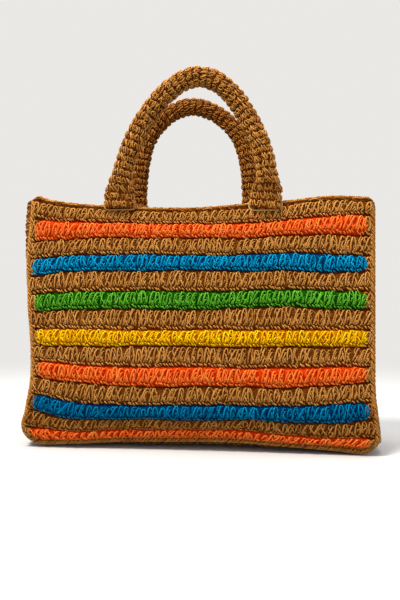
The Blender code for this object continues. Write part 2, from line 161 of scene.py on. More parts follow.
CROSSED_HOOK = (
    (1.1, 7, ((-12, 22, 40), (12, 38, 90), (36, 64, 115), (64, 88, 110), (86, 96, 80), (104, 84, 10))),
    (0.85, 6, ((4, 90, 20), (24, 68, 80), (46, 48, 85), (72, 32, 90), (98, 16, 10))),
    (0.8, 5, ((-4, 52, 20), (2, 78, 85), (20, 98, 95), (50, 96, 60), (70, 84, 10))),
    LOW_SLANT,
    FILLER,
    *BEADS,
)
ROUNDED_HOOK = (
    (1.1, 8, (
        (2, 22, 40), (-4, 40, 90), (4, 72, 110), (26, 96, 115),
        (54, 98, 110), (74, 76, 100), (70, 48, 90), (54, 30, 20),
    )),
    (0.8, 5, ((16, 30, 20), (30, 52, 80), (52, 62, 80), (86, 50, 20))),
    (0.85, 5, ((50, 22, 40), (70, 26, 95), (86, 48, 100), (104, 72, 20))),
    LOW_SLANT,
    BEHIND,
    *BEADS,
)
HALF_TREBLES = (SLANTED_HOOK, SLANTED_HOOK, PEAKED_HOOK, CROSSED_HOOK, ROUNDED_HOOK)
EDGE_LOOP = (1.05, 5, ((-6, 4, 20), (20, 4, 100), (75, -3, 100), (102, -4, 20)))
PLAIN_STITCHES = (
    (
        (1.0, 7, ((2, 12, 10), (10, 34, 95), (28, 66, 110), (56, 90, 90), (104, 86, 0))),
        (0.9, 5, ((28, 60, 20), (58, 36, 85), (96, 12, 10))),
        (0.9, 5, ((-10, 14, 20), (20, 34, 90), (52, 58, 0))),
        EDGE_LOOP,
    ),
    (
        (1.0, 7, ((10, 12, 10), (12, 40, 95), (30, 78, 110), (60, 92, 80), (94, 80, 0))),
        (0.9, 5, ((92, 14, 10), (66, 50, 95), (42, 86, 20))),
        (0.9, 5, ((-10, 40, 20), (20, 26, 80), (52, 16, 0))),
        EDGE_LOOP,
    ),
)
# Seen from inside the bag, each stitch shows a leaning post and the loop it hangs from
INNER_STITCHES = (
    (
        (1.0, 5, ((5, 6, 10), (22, 32, 100), (52, 66, 100), (86, 94, 10))),
        (1.0, 4, ((10, 84, 10), (45, 98, 100), (80, 92, 80), (106, 78, 10))),
    ),
    (
        (1.0, 5, ((20, 4, 10), (24, 36, 100), (44, 70, 100), (70, 94, 10))),
        (1.0, 4, ((40, 10, 10), (62, 30, 90), (86, 46, 70), (110, 52, 10))),
    ),
)
# Round a handle, each stitch is three or four loops over its ring
ROUND_STITCHES = (
    (
        (1.1, 6, ((-10, -10, 0), (10, 18, 90), (36, 48, 110), (66, 78, 90), (90, 106, 0))),
        (1.05, 6, ((34, -8, 0), (54, 16, 90), (82, 46, 110), (110, 74, 90), (130, 98, 0))),
        (0.95, 5, ((4, 90, 10), (28, 84, 90), (54, 62, 80), (70, 42, 10))),
        (0.9, 4, ((60, 20, 10), (40, 34, 90), (16, 30, 80), (-4, 14, 10))),
    ),
    (
        (1.1, 6, ((50, -12, 0), (30, 18, 90), (30, 50, 110), (52, 82, 90), (82, 102, 0))),
        (1.05, 5, ((84, -2, 0), (74, 30, 90), (90, 64, 105), (122, 100, 0))),
        (0.95, 5, ((-6, 16, 10), (6, 48, 90), (12, 76, 80), (34, 104, 10))),
        (0.9, 4, ((46, 60, 10), (66, 72, 90), (88, 66, 80), (106, 46, 10))),
    ),
    (
        (1.1, 7, ((0, 2, 0), (6, 34, 90), (26, 74, 110), (58, 84, 105), (70, 52, 100), (56, 10, 0))),
        (1.05, 6, ((66, -8, 0), (84, 22, 90), (98, 54, 105), (98, 84, 80), (86, 110, 0))),
        (0.9, 4, ((16, 44, 20), (36, 28, 90), (60, 26, 90), (86, 40, 10))),
    ),
)
# Along and round a cord: the slanted wraps of a seam, and the links of the chain that lies on the rim
SEAM_WRAPS = (
    (
        (1.15, 7, ((0, -12, 0), (22, 4, 90), (52, 22, 100), (80, 40, 90), (105, 56, 0))),
        (0.85, 6, ((16, -6, 0), (40, 8, 60), (66, 24, 80), (92, 40, 50), (112, 50, 0))),
    ),
)
RIM_LINKS = (
    (
        (1.1, 6, ((-12, 30, 0), (15, 24, 90), (55, 16, 100), (90, 20, 80), (115, 28, 0))),
        (1.1, 6, ((-12, -2, 0), (15, 3, 90), (55, 8, 100), (90, 5, 80), (115, 0, 0))),
        (1.0, 5, ((-5, -22, 0), (30, -14, 100), (70, -12, 90), (105, -20, 0))),
        (0.9, 5, ((10, 38, 10), (35, 45, 80), (75, 50, 70), (105, 42, 0))),
    ),
)


def length_setting(name, description, default):
    return FloatProperty(name=name, description=description, default=default, unit="LENGTH")


def angle_setting(name, description, degrees):
    return FloatProperty(name=name, description=description, default=math.radians(degrees), subtype="ANGLE")


def colour_setting(name, description, default):
    return FloatVectorProperty(
        name=name, description=description, default=default, subtype="COLOR", size=3, min=0, max=1
    )


class BagSizes(bpy.types.PropertyGroup):
    width: length_setting("Width", "Across the side seams", 0.360)
    depth: length_setting("Depth", "Between the panels", 0.104)
    rim_height: length_setting("Rim height", "Middle of a panel's rim", 0.2535)
    rim_end_lift: length_setting("Rim end lift", "How much higher the rim's corners stand", 0.0073)
    side_dip: length_setting("Side dip", "How far the rim dips across a side", 0.011)
    base_flare: length_setting("Base flare", "Outward spread of the bottom corners", 0.0075)
    flare_height: length_setting("Flare height", "Where that spread begins", 0.075)
    corner_radius: length_setting("Corner radius", "Rounding of a panel's bottom corners", 0.018)
    belly: length_setting("Belly", "Outward bulge of a panel", 0.005)
    tuck_middle: length_setting("Tuck", "How far the bottom edge curls under", 0.014)
    tuck_end: length_setting("Tuck at the ends", "The same at the corners", 0.007)
    tuck_height: length_setting("Tuck height", "Where that curl begins", 0.0675)
    side_bulge: length_setting("Side bulge", "Outward bulge of the side strip", 0.003)


class YarnSizes(bpy.types.PropertyGroup):
    fabric: length_setting("Fabric", "Thickness between the rows", 0.0034)
    ground_crown: length_setting("Plain crown", "Swell of a plain row", 0.0024)
    stripe_crown: length_setting("Stripe crown", "Swell of a coloured row", 0.0042)
    radius: length_setting("Yarn radius", "Half the yarn's thickness", 0.00078)
    stitches: IntProperty(name="Stitches", description="Stitches in a row of a panel", default=54)
    stitch: length_setting("Stitch", "Width of a stitch elsewhere", 0.0066)
    twist: length_setting("Twist", "Length of one turn of the yarn's two plies", 0.0023)
    seam_radius: length_setting("Seam radius", "Half the thickness of a seam's edging", 0.0029)
    rim_radius: length_setting("Rim radius", "Half the thickness of the rim's edging", 0.0022)


class HandleSizes(bpy.types.PropertyGroup):
    radius: length_setting("Radius", "Half a handle's thickness", 0.0105)
    rope_radius: length_setting("Rope radius", "Half the thickness of the rope inside", 0.0066)
    rib_pitch: length_setting("Rib pitch", "From one round of stitches to the next", 0.0079)
    tab_half_width: length_setting("Tab half width", "Half the width of a flat end", 0.0165)
    tab_half_depth: length_setting("Tab half depth", "Half its thickness", 0.0046)
    tab_straight: length_setting("Tab length", "Length of a flat end", 0.012)
    tab_taper: length_setting("Tab taper", "Length over which it turns round", 0.026)
    tab_lean: length_setting("Tab lean", "How far a tab's foot leans in on the panel", 0.0035)
    left_overlap: length_setting(
        "Left overlap", "How far a left tab reaches below the rim before it sags", -0.0010
    )
    right_overlap: length_setting("Right overlap", "The same on the right", 0.0014)
    back_overlap: length_setting("Back overlap", "The same of both back tabs", 0.0090)
    span: length_setting("Span", "Between the middles of the tabs", 0.152)
    rise: length_setting("Rise", "Middle of the front grip above the rim", 0.1353)
    back_extra: length_setting("Back rise", "How much higher the back grip stands", 0.006)
    front_middle: length_setting("Front middle", "Middle of the front handle's feet", -0.006)
    back_middle: length_setting("Back middle", "Middle of the back handle's feet", -0.018)
    front_lean: length_setting("Front lean", "Sideways lean of the front arch", 0.008)
    back_lean: length_setting("Back lean", "Sideways lean of the back arch", 0.003)


class YarnColours(bpy.types.PropertyGroup):
    ground: colour_setting("Brown", "Colour of the brown yarn", (0.44, 0.178, 0.031))
    orange: colour_setting("Orange", "Colour of the orange yarn", (0.985, 0.143, 0.0165))
    blue: colour_setting("Blue", "Colour of the blue yarn", (0.001, 0.21, 0.42))
    green: colour_setting("Green", "Colour of the green yarn", (0.061, 0.29, 0.012))
    yellow: colour_setting("Yellow", "Colour of the yellow yarn", (0.90, 0.43, 0.002))
    rope: colour_setting("Rope", "Colour of the rope yarn", (0.74, 0.68, 0.56))
    thread: colour_setting("Sewing", "Colour of the sewing yarn", (0.52, 0.26, 0.075))


class StageSizes(bpy.types.PropertyGroup):
    camera: FloatVectorProperty(
        name="Camera", description="Where the camera stands", subtype="TRANSLATION",
        default=(0.0785, -0.7233, 0.1503),
    )
    turn: angle_setting("Turn", "Camera's turn to the left", 6.51)
    tilt: angle_setting("Tilt", "Camera's tilt above the horizon", 0.69)
    roll: angle_setting("Roll", "Camera's roll", 0.12)
    lens: FloatProperty(name="Lens", description="Focal length in millimetres on a 36 mm frame", default=39.0)
    floor_height: length_setting("Floor height", "Height of the floor, at the lowest yarn", -0.0010)
    backdrop: colour_setting("Backdrop", "Colour of floor and backdrop", (0.82, 0.81, 0.79))


# What turns a point of the front half round to the back
HALF_ROUND = (-1, -1, 1)
# Between two pieces that touch
GAP = 0.0003
# Places across the bag at which the slump is worked out, each way from the middle
SLUMP_PLACES = 32


def smooth_step(share):
    share = np.clip(share, 0.0, 1.0)
    return share * share * (3 - 2 * share)


def unit(vectors):
    return vectors / np.maximum(np.linalg.norm(vectors, axis=-1, keepdims=True), 1e-12)


def lengths_along(points):
    """How far each point is along the line through them."""
    return np.concatenate(([0], np.cumsum(np.linalg.norm(np.diff(points, axis=0), axis=1))))


class BagForm:
    """The bag's inner faces, as the solids have them, for arrays of points."""

    def __init__(self, bag, yarn):
        self.bag, self.yarn = bag, yarn
        self.half_width = bag.width / 2
        self.inset = yarn.seam_radius + GAP
        top = bag.rim_height - 2 * yarn.rim_radius - GAP
        self.middles = top - np.concatenate(([0.0], np.cumsum([row[1] for row in ROWS])))
        self.lifts = np.array([bag.rim_end_lift] + [row[2] for row in ROWS])
        self.corner_top = self.middles[-1] + self.lifts[-1] + bag.corner_radius - self.inset
        flare = bag.base_flare * smooth_step(1 - self.corner_top / bag.flare_height)
        self.foot = self.half_width - yarn.seam_radius + flare - bag.corner_radius
        self.seam_line = self.trace_seam()
        places = np.linspace(-1, 1, len(SLUMP_UP[0]))
        lines = [np.stack([places, row], -1) for row in SLUMP_UP]
        self.slump_up = np.array([rounded_line(line, 2 * SLUMP_PLACES + 1)[:, 1] for line in lines]) / 1000

    def panel_half_width(self, z):
        flare = self.bag.base_flare * smooth_step(1 - z / self.bag.flare_height)
        straight = self.half_width - self.yarn.seam_radius + flare - self.inset
        reach = self.bag.corner_radius - self.inset
        below = np.clip(self.corner_top - z, 0, reach)
        return np.where(z >= self.corner_top, straight, self.foot + np.sqrt(reach**2 - below**2))

    def panel_depth(self, x, z):
        across = np.minimum(np.abs(x) / self.half_width, 1.0)
        height = np.clip(z / self.bag.rim_height, 0, 1)
        belly = self.bag.belly * (1 - across**2) * 4 * height * (1 - height)
        tuck = self.bag.tuck_middle + (self.bag.tuck_end - self.bag.tuck_middle) * across**2
        curl = np.maximum(self.bag.tuck_height - z, 0) / (self.bag.tuck_height - self.middles[-1])
        return self.bag.depth / 2 - self.yarn.fabric + belly - tuck * curl**2

    def edge_height(self, across, row):
        """Height at a share of the way across, and at rows counted down from the rim."""
        count = np.arange(len(self.middles))
        middle, lift = np.interp(row, count, self.middles), np.interp(row, count, self.lifts)
        middle = middle - np.minimum(row, 0) * ROWS[0][1]
        wave = 0.00045 * np.sin(7 * across + 1.9 * row) + 0.0003 * np.sin(19 * across + 2.7 * row)
        inside = np.clip(np.minimum(row, len(ROWS) - row), 0, 1)
        return middle + lift * np.abs(across) ** 3 + wave * inside

    def panel(self, across, row, border=0.0):
        z = self.edge_height(across, row)
        x = across * (self.panel_half_width(z) - border)
        return np.stack([x, -self.panel_depth(x, z), z], -1)

    def slumped(self, points):
        """Where the cloth comes to lie: it sags and is pulled about, mostly in front."""
        x, y, z = points[..., 0], points[..., 1], points[..., 2]
        row = np.interp(-z, -self.middles, np.arange(len(self.middles)))
        low = np.minimum(row.astype(int), len(ROWS) - 1)
        column = (np.clip(x / self.half_width, -1, 1) + 1) * SLUMP_PLACES
        left = np.minimum(column.astype(int), 2 * SLUMP_PLACES - 1)
        down, across = row - low, column - left
        table = self.slump_up
        upper = table[low, left] * (1 - across) + table[low, left + 1] * across
        lower = table[low + 1, left] * (1 - across) + table[low + 1, left + 1] * across
        front = smooth_step(0.5 - y / self.bag.depth)
        share = BACK_SHARE + (1 - BACK_SHARE) * front
        lift = (upper + (lower - upper) * down) * share
        pull = np.interp(row, np.arange(len(SLUMP_LEFT)), SLUMP_LEFT) / 1000
        pull = pull * smooth_step(-x / self.half_width * 1.8 - 0.8) * share
        above_floor = smooth_step(z / 0.012)
        return np.stack([x + pull, y, z + np.where(lift < 0, lift * above_floor, lift)], -1)

    def settled(self, points, side):
        """A point of the front panel as the cloth lies, or of the same panel turned half round for the back."""
        return self.slumped(points if side < 0 else points * HALF_ROUND)

    def trace_seam(self):
        """Middle line of a seam's cord, left rim to right rim: points, and the outward direction there."""
        bag, reach = self.bag, self.bag.corner_radius - self.inset
        top = self.middles[0] + bag.rim_end_lift
        z = np.linspace(top, self.corner_top, 60)[:-1]
        x = -self.panel_half_width(z)
        out = np.stack([-np.ones_like(z), np.zeros_like(z)], -1)
        angle = np.linspace(0, math.pi / 2, 24)[:-1]
        corner_out = np.stack([-np.cos(angle), -np.sin(angle)], -1)
        corner_x = -self.foot + reach * corner_out[:, 0]
        corner_z = self.corner_top + reach * corner_out[:, 1]
        base_x = np.linspace(-self.foot, 0, 50)
        base_z = self.middles[-1] + self.lifts[-1] * np.abs(base_x / self.foot) ** 3
        base_out = np.stack([np.zeros_like(base_x), -np.ones_like(base_x)], -1)
        x = np.concatenate([x, corner_x, base_x])
        z = np.concatenate([z, corner_z, base_z])
        out = np.concatenate([out, corner_out, base_out])
        x, z = np.concatenate([x, -x[-2::-1]]), np.concatenate([z, z[-2::-1]])
        out = np.concatenate([out, out[-2::-1] * (-1, 1)])
        step = 1e-5
        here = np.stack([x, -self.panel_depth(x, z), z], -1)
        bx, bz = x + out[:, 0] * step, z + out[:, 1] * step
        beyond = np.stack([bx, -self.panel_depth(bx, bz), bz], -1)
        slope = (self.panel_depth(x, z + step) - self.panel_depth(x, z)) / step
        normal = unit(np.stack([np.zeros_like(x), -np.ones_like(x), -slope], -1))
        points = here + normal * self.yarn.fabric / 2 + unit(beyond - here) * self.inset
        return {"points": points, "out": out, "normal": normal, "length": lengths_along(points)}

    def along_seam(self, distance, what):
        length, values = self.seam_line["length"], self.seam_line[what]
        return np.stack([np.interp(distance, length, column) for column in values.T], -1)

    def strip(self, distance, across):
        """The side and base strip: a distance along the seam, and -1 at the front seam to 1 at the back one."""
        seam, out = self.along_seam(distance, "points"), unit(self.along_seam(distance, "out"))
        half = -seam[..., 1] - self.inset * 0.6
        fade = smooth_step((0.92 - np.abs(across)) / 0.32)
        floor = seam[..., 2] - self.yarn.fabric / 2 - self.yarn.ground_crown
        bulge = self.bag.side_bulge + (floor - self.bag.side_bulge) * smooth_step(-out[..., 1])
        reach = bulge * fade - self.yarn.fabric / 2
        top = self.middles[0] + self.bag.rim_end_lift
        dip = self.bag.side_dip * (1 - across**2) * smooth_step((seam[..., 2] - top / 2) / (top / 2))
        row = np.interp(-seam[..., 2], -self.middles, np.arange(len(self.middles)))
        pull = np.interp(row, np.arange(len(STRIP_LEFT)), STRIP_LEFT) / 1000
        pull = pull * (seam[..., 0] < 0) * smooth_step((across + 1) / 0.18) * smooth_step((0.8 - across) / 1.6)
        x = seam[..., 0] + out[..., 0] * reach + pull
        return self.slumped(np.stack([x, across * half, seam[..., 2] - dip + out[..., 1] * reach], -1))


# How far the row under a tab stands over the fabric, and how square the tab's section is (1 is an oval)
ROW_UNDER_TAB = 0.0022
TAB_POWER = 0.65
ARCH_PLACES = 721


class HandleForm:
    """One handle's arch: round along the grip and flat at its two tabs."""

    def __init__(self, sizes, bag_form, side):
        front = side < 0
        self.sizes, self.side = sizes, side
        self.middle = sizes.front_middle if front else sizes.back_middle
        lean = sizes.front_lean if front else sizes.back_lean
        rise = sizes.rise + (0.0 if front else sizes.back_extra)
        bag = bag_form.bag
        half = sizes.span / 2
        face = float(bag_form.panel_depth(np.array(half), np.array(bag_form.middles[0])))
        self.plane = face + bag_form.yarn.fabric + ROW_UNDER_TAB + GAP + sizes.tab_half_depth
        angle = np.linspace(0, math.pi, ARCH_PLACES)
        level = np.sin(angle)
        self.feet = []
        overlaps = (sizes.left_overlap, sizes.right_overlap) if front else (sizes.back_overlap,) * 2
        for sign, overlap in zip((-1, 1), overlaps):
            x = self.middle + sign * half
            self.feet.append(bag.rim_height + bag.rim_end_lift * abs(x / (bag.width / 2)) ** 3 - overlap)
        foot = np.where(angle < math.pi / 2, *self.feet)
        pulls = HANDLE_PULL["front" if front else "back"]
        pull = rounded_line(np.stack([np.arange(len(pulls)), pulls], -1), ARCH_PLACES)[:, 1] / 1000
        x = self.middle + lean * level**2 - half * np.cos(angle) + pull
        z = foot + (bag.rim_height + rise - foot) * level
        self.line = np.stack([x, z], -1)
        self.length = lengths_along(self.line)
        self.total = self.length[-1]
        turns = np.linspace(0, 1, ARCH_PLACES)
        steps = lengths_along(self.section(turns, sizes.tab_half_width, sizes.tab_half_depth, TAB_POWER))
        self.even_turns = (steps / steps[-1], turns)

    @staticmethod
    def section(turn, width, depth, power):
        """A point of a rounded oblong, at turns round it."""
        c, s = np.cos(2 * math.pi * turn), np.sin(2 * math.pi * turn)
        return np.stack([width * np.sign(c) * np.abs(c) ** power, depth * np.sign(s) * np.abs(s) ** power], -1)

    def middle_line(self, distance):
        """Where the arch's middle is, sideways and up, and its direction there."""

        def at(place):
            return np.stack([np.interp(place, self.length, column) for column in self.line.T], -1)

        step = 0.002
        ahead = unit(at(np.clip(distance + step, 0, self.total)) - at(np.clip(distance - step, 0, self.total)))
        past = distance - np.clip(distance, 0, self.total)
        point = at(distance) + ahead * past[..., None]
        return point[..., 0], point[..., 1], ahead

    def middle_depth(self, distance):
        """From the bag's middle to the arch's: the feet lean in on the panel."""
        from_foot = np.minimum(distance, self.total - distance)
        return self.plane - self.sizes.tab_lean * (1 - smooth_step(from_foot / 0.035))

    def surface(self, distance, turn, inward=0.0):
        """A distance along the arch, and turns round it from its outer side towards the back of the bag."""
        sizes = self.sizes
        x, z, ahead = self.middle_line(distance)
        from_foot = np.minimum(distance, self.total - distance)
        roundness = smooth_step((from_foot - sizes.tab_straight) / sizes.tab_taper)
        width = sizes.tab_half_width + (sizes.radius - sizes.tab_half_width) * roundness - inward
        depth = sizes.tab_half_depth + (sizes.radius - sizes.tab_half_depth) * roundness - inward
        even = np.interp(turn % 1, *self.even_turns) + np.floor(turn)
        power = TAB_POWER + (1 - TAB_POWER) * roundness
        point = self.section(even + (turn - even) * roundness, width, depth, power)
        across = point[..., 0]
        y = self.side * self.middle_depth(distance) + point[..., 1]
        return np.stack([x - ahead[..., 1] * across, y, z + ahead[..., 0] * across], -1)


def normals_of(surface, p, q, sign=1.0):
    """Outward normals of a surface at arrays of its two parameters."""
    step = 1e-4
    along_p = surface(p + step, q) - surface(p - step, q)
    along_q = surface(p, q + step) - surface(p, q - step)
    return unit(np.cross(along_p, along_q)) * sign


def rounded_line(points, count):
    """A smooth line through the points, at an even number of places along it."""
    points = np.asarray(points, float)
    padded = np.concatenate([[2 * points[0] - points[1]], points, [2 * points[-1] - points[-2]]])
    where = np.linspace(0, len(points) - 1, count)
    index = np.minimum(where.astype(int), len(points) - 2)
    t = (where - index)[:, None]
    a, b, c, d = (padded[index + k] for k in range(4))
    return 0.5 * (2 * b + (c - a) * t + (2 * a - 5 * b + 4 * c - d) * t**2 + (3 * b - a - 3 * c + d) * t**3)


# How thin a strand is at its ends, and the length of a turn of the yarn that a backing shows
STRAND_TAPER = 0.5
BACKING_UV = 0.0017


class YarnMesh:
    """Collects strands and backings, then makes one mesh of them with its yarn's UVs and tones."""

    def __init__(self, yarn):
        self.twist, self.yarn_radius = yarn.twist, yarn.radius
        self.points, self.tones, self.crests = [], [], []
        self.corners, self.starts, self.uvs = [], [], []
        self.count = self.corner_count = 0

    def add(self, points, tones, crests, faces, uvs):
        """Points, and arrays of faces with one count of corners each, with a UV for each corner."""
        for corners, uv in zip(faces, uvs):
            number, size = corners.shape
            self.corners.append((corners + self.count).ravel())
            self.starts.append(self.corner_count + size * np.arange(number))
            self.uvs.append(uv.reshape(-1, 2))
            self.corner_count += number * size
        self.points.append(points.reshape(-1, 3))
        self.tones.append(np.broadcast_to(tones, points.shape[:-1]).ravel())
        self.crests.append(np.broadcast_to(crests, points.shape[:-1]).ravel())
        self.count += points.size // 3

    def add_strands(self, lines, normals, radius, tones, crests, sides):
        """Closed tubes along lines, an array of strands by rings by three."""
        strands, rings = lines.shape[:2]
        ahead = unit(np.gradient(lines, axis=1))
        side = unit(np.cross(ahead, normals))
        up = np.cross(side, ahead)
        turn = 2 * math.pi * (0.25 + np.arange(sides) / sides)
        ends = np.ones(rings)
        ends[[0, -1]] = STRAND_TAPER
        size = np.broadcast_to(radius, (strands,))[:, None] * ends
        ring = side[:, :, None] * np.cos(turn)[:, None] + up[:, :, None] * np.sin(turn)[:, None]
        points = lines[:, :, None] + ring * size[:, :, None, None]
        steps = np.linalg.norm(np.diff(lines, axis=1), axis=2)
        length = np.concatenate([np.zeros((strands, 1)), np.cumsum(steps, 1)], 1) / self.twist
        length = length + np.arange(strands)[:, None] * 0.37
        s, k, c = np.meshgrid(np.arange(strands), np.arange(rings - 1), np.arange(sides), indexing="ij")
        here, after = (s * rings + k) * sides, (s * rings + k + 1) * sides
        quads = np.stack([here + c, after + c, after + (c + 1) % sides, here + (c + 1) % sides], -1)
        u0, u1 = length[s, k], length[s, k + 1]
        v = np.stack([c, c, c + 1, c + 1], -1) / sides + 0.25
        quad_uv = np.stack([np.stack([u0, u1, u1, u0], -1), v], -1)
        around = np.arange(sides)
        first = (np.arange(strands)[:, None] * rings) * sides + around
        last = (np.arange(strands)[:, None] * rings + rings - 1) * sides + around[::-1]
        cap_uv = np.zeros((strands, sides, 2))
        self.add(
            points,
            np.asarray(tones)[:, None, None],
            np.asarray(crests)[..., None],
            [quads.reshape(-1, 4), first, last],
            [quad_uv.reshape(-1, 4, 2), cap_uv, cap_uv],
        )

    def add_loft(self, rings, tone, crest, closed=False):
        """A solid through rings of points, which turn so that its faces look outwards."""
        number, count = rings.shape[:2]
        last = number if closed else number - 1
        k, c = np.meshgrid(np.arange(last), np.arange(count), indexing="ij")
        here, after = k * count, (k + 1) % number * count
        quads = np.stack([here + c, here + (c + 1) % count, after + (c + 1) % count, after + c], -1)
        along = np.linalg.norm(np.diff(rings, axis=0), axis=2).mean(1)
        round_it = np.linalg.norm(np.diff(rings, axis=1), axis=2).mean(0)
        u, v = (np.concatenate([[0], np.cumsum(steps), [0]]) / BACKING_UV for steps in (along, round_it))
        v[-1] = v[-2] + 1
        quad_u = np.stack([u[k], u[k], u[k + 1], u[k + 1]], -1)
        quad_uv = np.stack([quad_u, np.stack([v[c], v[c + 1], v[c + 1], v[c]], -1)], -1)
        faces, uvs = [quads.reshape(-1, 4)], [quad_uv.reshape(-1, 4, 2)]
        if not closed:
            faces += [np.arange(count)[None, ::-1], (number - 1) * count + np.arange(count)[None]]
            uvs += [np.zeros((1, count, 2))] * 2
        self.add(rings, tone, crest, faces, uvs)

    def make(self, name, material):
        mesh = bpy.data.meshes.new(name)
        points = np.concatenate(self.points)
        corners = np.concatenate(self.corners).astype(np.int32)
        starts = np.concatenate(self.starts).astype(np.int32)
        mesh.vertices.add(len(points))
        mesh.vertices.foreach_set("co", points.astype(np.float32).ravel())
        mesh.loops.add(len(corners))
        mesh.polygons.add(len(starts))
        mesh.polygons.foreach_set("loop_start", starts)
        mesh.polygons.foreach_set("vertices", corners)
        # tone: each strand's random tone, with painted shade added on some pieces; crest: how high a point
        # stands, which the material turns into painted shade and light
        for label, values in (("tone", self.tones), ("crest", self.crests)):
            attribute = mesh.attributes.new(label, "FLOAT", "POINT")
            attribute.data.foreach_set("value", np.concatenate(values).astype(np.float32))
        layer = mesh.uv_layers.new(name="yarn")
        layer.data.foreach_set("uv", np.concatenate(self.uvs).astype(np.float32).ravel())
        mesh.update(calc_edges=True)
        mesh.validate()
        mesh.shade_smooth()
        mesh.materials.append(material)
        piece = bpy.data.objects.new(name, mesh)
        bpy.context.scene.collection.objects.link(piece)
        return piece


def stitch_lines(variants, count, rng, loose=1.0):
    """For each strand of each kind of stitch: its radius share, the stitches it is in, and their lines."""
    slant = rng.normal(0, 0.20 * loose, count)
    shift = rng.normal(0, 0.08 * loose, count)
    tall = 1 + rng.normal(0, 0.05 * loose, count)
    rise = rng.normal(0, 0.02 * loose, count)
    kinds = rng.integers(0, len(variants), count)
    for kind, template in enumerate(variants):
        picked = np.flatnonzero(kinds == kind)
        for share, rings, points in template:
            line = rounded_line(np.array(points) / 100, rings)
            own = rng.normal(0, 1, (5, len(picked))) * loose
            up = 0.5 + (line[:, 1] - 0.5) * (tall[picked] + own[0] * 0.04)[:, None]
            up = up + (rise[picked] + own[1] * 0.02)[:, None]
            across = line[:, 0] + (shift[picked] + own[2] * 0.06)[:, None]
            across = across + (slant[picked] + own[4] * 0.12)[:, None] * (line[:, 1] - 0.4)
            yield share, picked, across, up, line[:, 2] * (1 + own[3] * 0.14)[:, None]


def row_profile(up):
    """How far across its height a row is swollen: 0 at its edges and 1 in its middle."""
    return np.sqrt(np.clip(1 - np.abs(2 * up - 1) ** 2.4, 0, 1))


# Where a backing's outer face lies: a share of the fabric's thickness, and of the swell over it
BACKING_DEPTH, BACKING_SHARE = 0.72, 0.45
# How much thinner the fabric is in the groove between two rows
GROOVE_SHARE = 0.25
# How far off the drawn inner face a backing's inner face lies, with the inner stitches' posts over it
INNER_DEPTH = 0.0011
# How far up the rim the top row's backing goes, and where a coloured row's brown edge begins
TOP_REACH, EDGE_START = 1.22, 0.93
# The sides of an outer and of an inner strand
OUTER_SIDES, INNER_SIDES = 4, 3
# How far a coloured row's ends stay inside the panel's edge, and a plain row's ends: past it
STRIPE_BORDER, GROUND_BORDER = 0.0010, -0.0018
# Over what length a coloured row's ends are rounded off, and how much thicker its yarn is
END_ZONE, STRIPE_THICKER = 0.0085, 1.06
STRIP_ROWS = 5
# Places up a backing's outer face: in a panel's row, in a strip's row, and in the strip's front one
PANEL_UPS, STRIP_UPS = np.linspace(0, 1, 9), np.linspace(0, 1, 7)
FRONT_STRIP_UPS = np.array((0, 0.05, 0.12, 0.22, 0.36, 0.56, 0.78, 1))


class RowForm:
    """One row of a panel: how thick it is, and where its points lie."""

    # How far its stitches reach up to their crests, how much painted shade darkens its backing's edges in the
    # groove between rows, and which way round the backing's points go
    crest_share, edge_shade, loft_step = 1.0, 1.2, 1

    def __init__(self, form, index, side, coloured):
        self.form, self.index, self.side, self.coloured = form, index, side, coloured
        self.crown = form.yarn.stripe_crown if coloured else form.yarn.ground_crown
        self.border = STRIPE_BORDER if coloured else GROUND_BORDER
        self.thick = STRIPE_THICKER if coloured else 1.0
        # Painted shade on the lowest rows
        self.tone = LOW_ROW_SHADES.get(index, 0.0)
        # A coloured row's backing is painted deeper in shade
        self.backing_shade_tone = 0.25 if coloured else 0.4

    def surface(self, across, row):
        return self.form.settled(self.form.panel(across, row, self.border), self.side)

    def squeeze(self, across):
        """A coloured row is rounded off at its ends."""
        length = self.form.half_width
        into = np.clip((np.abs(across) * length - (length - END_ZONE)) / END_ZONE, 0, 1)
        return np.sqrt(1 - 0.90 * into**2) if self.coloured else np.ones_like(into)

    def thickness(self, up, across):
        """Where the backing's outer face and the stitches' crests lie."""
        fabric = self.form.yarn.fabric
        swell = self.crown * self.squeeze(across) * row_profile(up)
        groove = fabric * GROOVE_SHARE * (1 - row_profile(up))
        return fabric * BACKING_DEPTH - groove + swell * BACKING_SHARE, fabric + swell

    def place(self, across, up, offset):
        row = self.index + 1 - (0.5 + (up - 0.5) * self.squeeze(across))
        normal = normals_of(self.surface, across, row, -1.0)
        return self.surface(across, row) + normal * offset[..., None], normal

    def along(self, share):
        return np.clip(-1 + 2 * share, -1.0, 1.0)

    def outer_up(self, up):
        return 0.015 + 0.925 * up

    def inner_up(self, up):
        return up

    def uneven(self, rng, number):
        return 0.25 * rng.normal(0, 1, number).clip(-2, 2)


class StripRow:
    """One row of the side and base strip, counted from the front, as RowForm is one of a panel."""

    edge_shade, loft_step, thick, tone, backing_shade_tone = 0.0, -1, 1.0, 0.0, 0.45

    def __init__(self, form, index):
        self.form, self.index = form, index
        self.total = form.seam_line["length"][-1]
        self.crest_share = 0.5 if index == 0 else 1.0

    def thickness(self, up, distance):
        yarn = self.form.yarn
        swell = yarn.ground_crown * row_profile(up)
        return yarn.fabric * BACKING_DEPTH + swell * BACKING_SHARE, yarn.fabric + swell

    def place(self, distance, up, offset):
        across = -1 + 2 * (self.index + up) / STRIP_ROWS
        normal = normals_of(self.form.strip, distance, across, -1.0)
        return self.form.strip(distance, across) + normal * offset[..., None], normal

    def along(self, share):
        return (share * self.total).clip(0, self.total)

    def outer_up(self, up):
        return up.clip(-0.05, 1.0)

    def inner_up(self, up):
        return up.clip(-0.05, 1.05)

    def uneven(self, rng, number):
        return 0.22 * rng.normal(0, 1, number)


